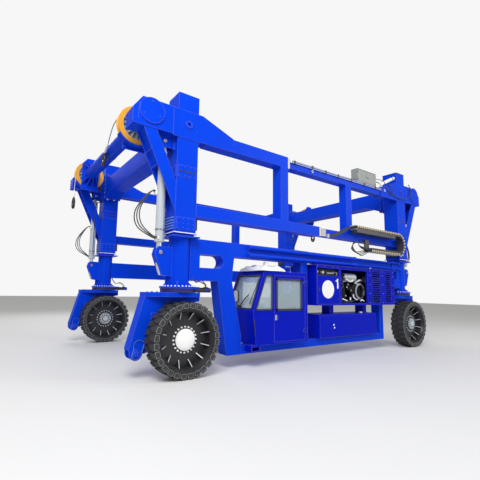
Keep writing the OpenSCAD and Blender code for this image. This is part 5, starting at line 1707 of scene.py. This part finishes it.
@dataclass
class PowerPack:
    """Markings, plugs, pipes and engine details of the power pack.

    Attributes:
        face: Outer face of the pack from the machine's centre line.
        plate: Thickness of the door's markings.
        disc: Middle of the white blank disc on the door, along the machine and up.
        disc_radius: Radius of that disc.
        number: Middle of the stroke of the plain number, along the machine and up.
        engine_y: Middle of the round engine parts from the centre line.
    """

    face: float = 2.8
    plate: float = 0.0025
    disc: tuple[float, float] = (-0.105, 1.632)
    disc_radius: float = 0.222
    number: tuple[float, float] = (-0.476, 1.78)
    engine_y: float = 2.6

    def _markings(self) -> None:
        """Puts the blank white disc and the number 1 on the door."""
        marks = Form()
        marks.lathe([(TIP, 0), (self.disc_radius, 0), (self.disc_radius, self.plate), (TIP, self.plate)],
                    (self.disc[0], self.face, self.disc[1]), AXIS_Y, 64)
        x, z = self.number
        marks.prism([(x - 0.024, z - 0.12), (x + 0.024, z - 0.12), (x + 0.024, z + 0.05),
                     (x + 0.075, z + 0.05), (x + 0.075, z + 0.08), (x + 0.03, z + 0.092),
                     (x + 0.018, z + 0.12), (x - 0.024, z + 0.12)], self.face, self.face + self.plate)
        marks.place("door_marks", WHITE, "power_door")
        lock = Form()
        lock.prism(rounded(0.225, 1.62, 0.022, 0.05, 0.008), self.face, self.face + 0.006)
        lock.lathe([(0.013, 0), (0.013, 0.012), (TIP, 0.013)], (0.225, self.face + 0.006, 1.6), AXIS_Y, 16)
        lock.place("power_door_lock", BLACK, "power_door", bevel=0.001)

    def _plugs(self) -> None:
        """Fills the slot over the door with its round plugs and their leads."""
        dark, pale = Form(), Form()
        for i, (x, z) in enumerate(((0.14, 2.06), (-0.25, 2.04), (-0.32, 2.04), (-0.4, 2.045),
                                    (-0.47, 2.05))):
            pale.lathe([(TIP, 0), (0.016, 0), (0.02, 0.012), (0.02, 0.05), (TIP, 0.052)], (x, 2.64, z),
                       AXIS_Y, 16)
            dark.hose([(x, 2.65, z - 0.01), (x - 0.03, 2.62, z - 0.05),
                       (x - 0.08, 2.58, z - 0.07 - 0.006 * i)], 0.008)
        pale.lathe([(TIP, 0), (0.03, 0), (0.038, 0.012), (0.038, 0.06), (0.03, 0.072), (TIP, 0.074)],
                   (-0.04, 2.64, 2.055), AXIS_Y, 24)
        pale.hose([(-0.56, 2.66, 2.075), (-0.6, 2.68, 2.055), (-0.6, 2.66, 2.0)], 0.012)
        dark.box((-0.56, 2.56, 1.985), (0.22, 2.645, 2.135))
        pale.place("slot_plugs", WHITE, "left_front")
        dark.place("slot_panel", BLACK, "left_front")

    def _engine(self) -> None:
        """Adds the round silver housing of the engine with its screws, and the white pipes."""
        silver = Form()
        centre = (-1.6, self.engine_y, 1.6)
        silver.lathe([(0.225, 0), (0.232, 0.01), (0.232, 0.055), (0.215, 0.072), (0.17, 0.075), (0.165, 0.06),
                      (0.165, 0)], centre, AXIS_Y, 56, closed=True)
        silver.bolts(around((centre[0], centre[1] + 0.072, centre[2]), "y", 0.195, 12), AXIS_Y, 0.01, 0.01)
        silver.hose([(-1.42, 2.64, 1.8), (-1.46, 2.665, 1.86), (-1.56, 2.67, 1.9), (-1.66, 2.66, 1.89)],
                    0.04, 14, 5)
        silver.place("flywheel_housing", STEEL, "left_front")
        pipes = Form()
        for path in ([(-0.9, 2.68, 1.975), (-0.97, 2.69, 1.925), (-1.05, 2.695, 1.87), (-1.15, 2.69, 1.862),
                      (-1.24, 2.69, 1.875), (-1.262, 2.69, 1.935)],
                     [(-1.25, 2.7, 1.52), (-1.262, 2.7, 1.45), (-1.33, 2.7, 1.4), (-1.42, 2.695, 1.375)],
                     [(-0.78, 2.7, 1.4), (-0.87, 2.71, 1.374), (-0.975, 2.7, 1.35)],
                     [(-1.13, 2.69, 1.365), (-1.13, 2.695, 1.44)],
                     [(-1.56, 2.705, 1.35), (-1.64, 2.705, 1.372), (-1.7, 2.705, 1.34)]):
            pipes.hose(path, 0.018, 12, 5)
        pipes.place("engine_pipes", WHITE, "left_front", "cylinder_grey")

    def _engine_trim(self) -> None:
        """Adds the engine's caps and hoses, the filter's fins and the belt."""
        caps = Form()
        for x, z in ((-0.882, 1.849), (-1.01, 1.7), (-0.95, 1.48), (-1.06, 1.78), (-1.18, 1.62),
                     (-1.34, 2.02)):
            caps.lathe([(TIP, 0), (0.02, 0), (0.024, 0.006), (0.02, 0.014), (TIP, 0.015)], (x, 2.675, z),
                        AXIS_Y, 12)
        caps.place("engine_caps", STEEL, "left_front")
        hoses = Form()
        for path in ([(-0.68, 2.62, 2.02), (-0.8, 2.66, 1.93), (-0.86, 2.66, 1.76), (-0.8, 2.62, 1.58)],
                     [(-0.72, 2.56, 1.86), (-0.9, 2.62, 1.78), (-1.0, 2.6, 1.62)],
                     [(-1.02, 2.6, 2.02), (-1.18, 2.66, 1.98), (-1.36, 2.64, 1.84), (-1.4, 2.58, 1.66)],
                     [(-0.7, 2.6, 1.34), (-0.95, 2.68, 1.315), (-1.25, 2.66, 1.33), (-1.46, 2.6, 1.36)]):
            hoses.hose(path, 0.016, 10, 6)
        hoses.place("engine_hoses", TRIM, "left_front")
        fins = Form()
        for i in range(9):
            x = -1.38 + 0.052 * i
            fins.lathe([(0.1105, 0), (0.117, 0.004), (0.117, 0.014), (0.1105, 0.018)],
                       (x, self.engine_y, 1.96), AXIS_X, 40, closed=True)
        fins.place("filter_fins", ZINC, "left_front")
        belt = Form()
        belt.lathe([(0.1855, 2.62), (0.192, 2.62), (0.192, 2.65), (0.1855, 2.65)], (-1.43, 0, 1.59),
                   AXIS_Y, 48, closed=True)
        belt.place("engine_belt", RUBBER, "left_front", "cab_trim")

    def _trim(self) -> None:
        """Adds the tank's small fittings, the panels' screws and the roof's lifting eyes."""
        trim = Form()
        trim.bolts([(x, 2.72, z) for x, z in ((-0.395, 0.757), (-0.417, 0.686))], AXIS_Y, 0.016, 0.014)
        trim.lathe([(0.045, 0), (0.045, 0.03), (0.038, 0.04), (TIP, 0.042)], (-1.66, 2.62, 1.018), AXIS_Z, 24)
        trim.lathe([(TIP, 0), (0.02, 0), (0.026, 0.01), (0.02, 0.022), (TIP, 0.023)], (-1.95, 2.77, 2.232),
                   AXIS_Z, 16)
        trim.place("tank_fittings", WHITE, "left_front")
        screws = Form()
        for x in (-0.5, -0.3, 0.0, 0.28):
            screws.bolts([(x, 2.8, 2.19)], AXIS_Y, 0.007, 0.006)
        for x in (-1.86, -2.48, -3.02):
            screws.bolts([(x, 2.8, z) for z in (1.3, 1.55, 1.8, 2.05, 2.17)], AXIS_Y, 0.007, 0.006)
        screws.place("pack_screws", ZINC, "left_front", "blue_paint")
        eyes = Form()
        for x in (-2.7, -0.1):
            eyes.torus((x, 2.38, 2.262), AXIS_Y, 0.026, 0.008, 24)
        eyes.place("pack_eyes", BLACK, "left_front")

    def build(self) -> None:
        """Dresses the power pack, the engine and the tank."""
        self._markings()
        self._plugs()
        self._engine()
        self._engine_trim()
        self._trim()


@dataclass
class ElectricBox:
    """Door seams, hinges, lock and glands of the grey electric box.

    Attributes:
        rear: Rear end along the machine.
        front: Front end along the machine.
        face: Outer face from the machine's centre line.
        low: Underside.
        high: Top.
        door: Thickness of the doors and of the lid.
        glands: Cable glands of the box.
    """

    rear: float = -2.59
    front: float = -1.67
    face: float = 2.64
    low: float = 4.721
    high: float = 5.115
    door: float = 0.006
    glands: int = 6

    def build(self) -> None:
        """Dresses the box."""
        doors, details, glands = Form(), Form(), Form()
        middle, face, lid = (self.rear + self.front) / 2, self.face + self.door, self.high + self.door
        for x0, x1 in ((self.rear + 0.02, middle - 0.004), (middle + 0.004, self.front - 0.02)):
            doors.box((x0, self.face - 0.001, self.low + 0.04), (x1, face, self.high - 0.03))
        doors.box((self.rear - 0.006, 2.435, self.high), (self.front + 0.006, self.face + 0.012, lid))
        doors.place("box_doors", BOX_GREY, "rear_frame", bevel=0.002)
        for x in (self.rear + 0.02, self.front - 0.02):
            for z in (self.low + 0.09, self.high - 0.09):
                details.rod((x, face, z - 0.03), (x, face, z + 0.03), 0.007, 12)
        for x in (middle - 0.05, middle + 0.05):
            details.lathe([(TIP, 0), (0.014, 0), (0.014, 0.01), (TIP, 0.011)], (x, face, 4.92), AXIS_Y, 16)
        details.place("box_locks", BLACK, "rear_frame")
        for i in range(self.glands):
            glands.lathe([(0.014, 0), (0.014, 0.022), (TIP, 0.024)], (self.front, 2.47 + 0.028 * i, 4.765),
                         AXIS_X, 12)
            glands.bolts([(self.rear + 0.12 + 0.14 * i, self.face, self.low + 0.018)], AXIS_Y, 0.005, 0.004)
        glands.place("box_glands", TRIM, "rear_frame")


@dataclass
class CadNodes:
    """Gives each CAD node its finish.

    Attributes:
        web: Radius inside which a sheave is grey.
        rod: Radius inside which a column is chromed, round the lift cylinder's axis.
        air_filter: A point on the air filter's axis, and the radius inside which the engine is bare steel.
        special: Nodes that aren't blue, with their finish.
    """

    web: float = 0.3
    rod: float = 0.0505
    air_filter: tuple[Point, float] = ((0, 2.6 + CENTRE_Y, 1.96), 0.112)
    special: dict[str, Finish | Glazing | Zoned] = field(default_factory=dict)

    def __post_init__(self) -> None:
        """Fills the table of nodes that aren't blue."""
        for finish, names in (
                (ZINC, ("front_barrels", "rear_barrels")), (PAD, ("slide_pads",)),
                (CHAIN, ("energy_chain",)), (BOX_GREY, ("electric_box",)), (WHITE, ("cab_roof",)),
                (GLASS, ("cab_glass", "door_glass")), (TRIM, ("cab_interior",)),
                (Zoned("engine_paint", BLACK, STEEL, self.air_filter[0], 0, self.air_filter[1]),
                 # The cab, the power pack and the tank take the darker blue as painted shade
                 ("engine",)), (SHADED_BLUE, ("cab_body", "cab_door", "power_frame", "power_door", "tank"))):
            self.special.update(dict.fromkeys(names, finish))
        for corner in Corner:
            tag = corner.tag
            axle, lift = corner.leg((SHEAVE_X, 0, SHEAVE_Z)), corner.leg((LIFT_X, 0, 0))
            self.special["rim_" + tag] = BLACK
            self.special["tyre_" + tag] = RUBBER
            self.special["sheave_" + tag] = Zoned("sheave_paint_" + tag, ORANGE, WEB_GREY, axle, 1, self.web)
            self.special["column_" + tag] = Zoned("column_paint_" + tag, BLUE, CHROME, lift, 2, self.rod)

    def dress(self) -> None:
        """Assigns the materials to the CAD objects."""
        for name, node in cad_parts.items():
            finish = self.special.get(name, BLUE)
            slot = finish.slot
            node.data.materials.clear()
            node.data.materials.append(finish.material())
            LOG.info("dressed %s in %s", name, finish.name)


@dataclass
class Studio:
    """Floor, lamps, world and the camera at the photograph's viewing angle.

    Attributes:
        width: Width of the photograph, in pixels.
        focus: Focal length, in its pixels.
        centre: The camera's principal point, in its pixels.
        eye: Camera place before the row frame's shift along Y.
        yaw: Heading of the view, in degrees.
        pitch: Rise of the view, in degrees.
        roll: Roll of the camera, in degrees.
        sensor: Width of the camera's sensor, in millimetres.
        reach: Half the width of the floor.
        lamps: Name, place, side and power of each lamp, in metres and watts.
        target: Point that the lamps face.
    """

    width: int = 480
    focus: float = 347.31
    centre: tuple[float, float] = (222.92, 246.54)
    eye: Point = (6.898, 8.435, 1.551)
    yaw: float = -124.307
    pitch: float = 7.225
    roll: float = 1.1235
    sensor: float = 36.0
    reach: float = 60.0
    lamps: tuple[tuple[str, Point, float, float], ...] = (
        ("key", (9.0, 9.0, 11.0), 7.0, 1500),
        ("fill", (-9.0, 12.0, 8.0), 8.0, 700),
        ("back", (2.0, -12.0, 10.0), 8.0, 600))
    target: Point = (0, 0, 2.0)

    def camera(self) -> None:
        """Makes the camera that matches the photograph."""
        data = bpy.data.cameras.new("camera")
        data.sensor_width = self.sensor
        data.lens = self.focus / self.width * self.sensor
        half = self.width / 2
        data.shift_x = (half - self.centre[0]) / self.width
        data.shift_y = (self.centre[1] - half) / self.width
        data.clip_start, data.clip_end = 0.1, 200.0
        yaw, pitch, roll = (math.radians(a) for a in (self.yaw, self.pitch, self.roll))
        ahead = Vector((math.cos(yaw) * math.cos(pitch), math.sin(yaw) * math.cos(pitch), math.sin(pitch)))
        right = ahead.cross(Vector(AXIS_Z)).normalized()
        up = right.cross(ahead)
        right, up = (math.cos(roll) * right + math.sin(roll) * up,
                     -math.sin(roll) * right + math.cos(roll) * up)
        turn = Matrix((right, up, -ahead)).transposed().to_4x4()
        camera = link("camera", data)
        camera.matrix_world = Matrix.Translation(Vector(self.eye) + Vector((0, CENTRE_Y, 0))) @ turn
        bpy.context.scene.camera = camera

    def lamp(self, name: str, place: Point, size: float, power: float) -> None:
        """Hangs a square soft lamp that points at the machine's middle.

        Args:
            name: Name of the lamp.
            place: Where it hangs.
            size: Side of its square, in metres.
            power: Its power, in watts.
        """
        data = bpy.data.lights.new(name, "AREA")
        data.shape = "SQUARE"
        data.size = size
        data.energy = power
        lamp = link(name, data)
        lamp.location = place
        lamp.rotation_euler = (Vector(self.target) - Vector(place)).to_track_quat("-Z", "Y").to_euler()

    def world(self, light: float = 0.48, seen: float = 0.93) -> None:
        """Sets an even pale world, which looks paler where it is seen directly or through glass.

        Args:
            light: Strength with which it lights the machine.
            seen: Strength with which it is seen.
        """
        world = bpy.data.worlds.new("studio_world")
        bpy.context.scene.world = world
        world.use_nodes = True
        graph, white = Graph(world.node_tree), (1, 1, 1, 1)
        lit = graph.feed(graph.tree.nodes["Background"], {"Color": white, "Strength": light})
        pale = graph.add("Background", {"Color": white, "Strength": seen})
        path = graph.add("LightPath", {}).outputs
        shown = graph.add("Math", {0: path["Is Camera Ray"], 1: path["Is Transmission Ray"]}, "MAXIMUM")
        mix = graph.add("MixShader", {"Fac": shown.outputs["Value"], 1: lit.outputs[0], 2: pale.outputs[0]})
        graph.feed(graph.tree.nodes["World Output"], {"Surface": mix.outputs["Shader"]})

    def floor(self) -> None:
        """Lays a plain pale floor."""
        mesh = bpy.data.meshes.new("floor")
        corners = ((-1, -1), (1, -1), (1, 1), (-1, 1))
        mesh.from_pydata([(x * self.reach, y * self.reach, 0) for x, y in corners], [], [(0, 1, 2, 3)])
        floor = link("floor", mesh)
        graph = Graph.start("floor_pale")
        graph.feed(graph.shader, {"Base Color": (0.72, 0.72, 0.71, 1), "Roughness": 0.85})
        mesh.materials.append(bpy.data.materials["floor_pale"])

    def build(self) -> None:
        """Makes the whole studio."""
        self.camera()
        self.world()
        self.floor()
        for lamp in self.lamps:
            self.lamp(*lamp)
        scene = bpy.context.scene
        scene.view_settings.view_transform = "Standard"


def main() -> None:
    """Builds the studio and dresses the machine, sub-assembly by sub-assembly."""
    logging.basicConfig(level=logging.INFO, format="%(name)s: %(message)s")
    Studio().build()
    CadNodes().dress()
    for part in (Wheels, Knuckles, Columns, Posts, Sheaves, CrossMembers, SideFrames, EnergyChain, Cab,
                 PowerPack, ElectricBox):
        part().build()


if __name__ == "__main__":
    main()
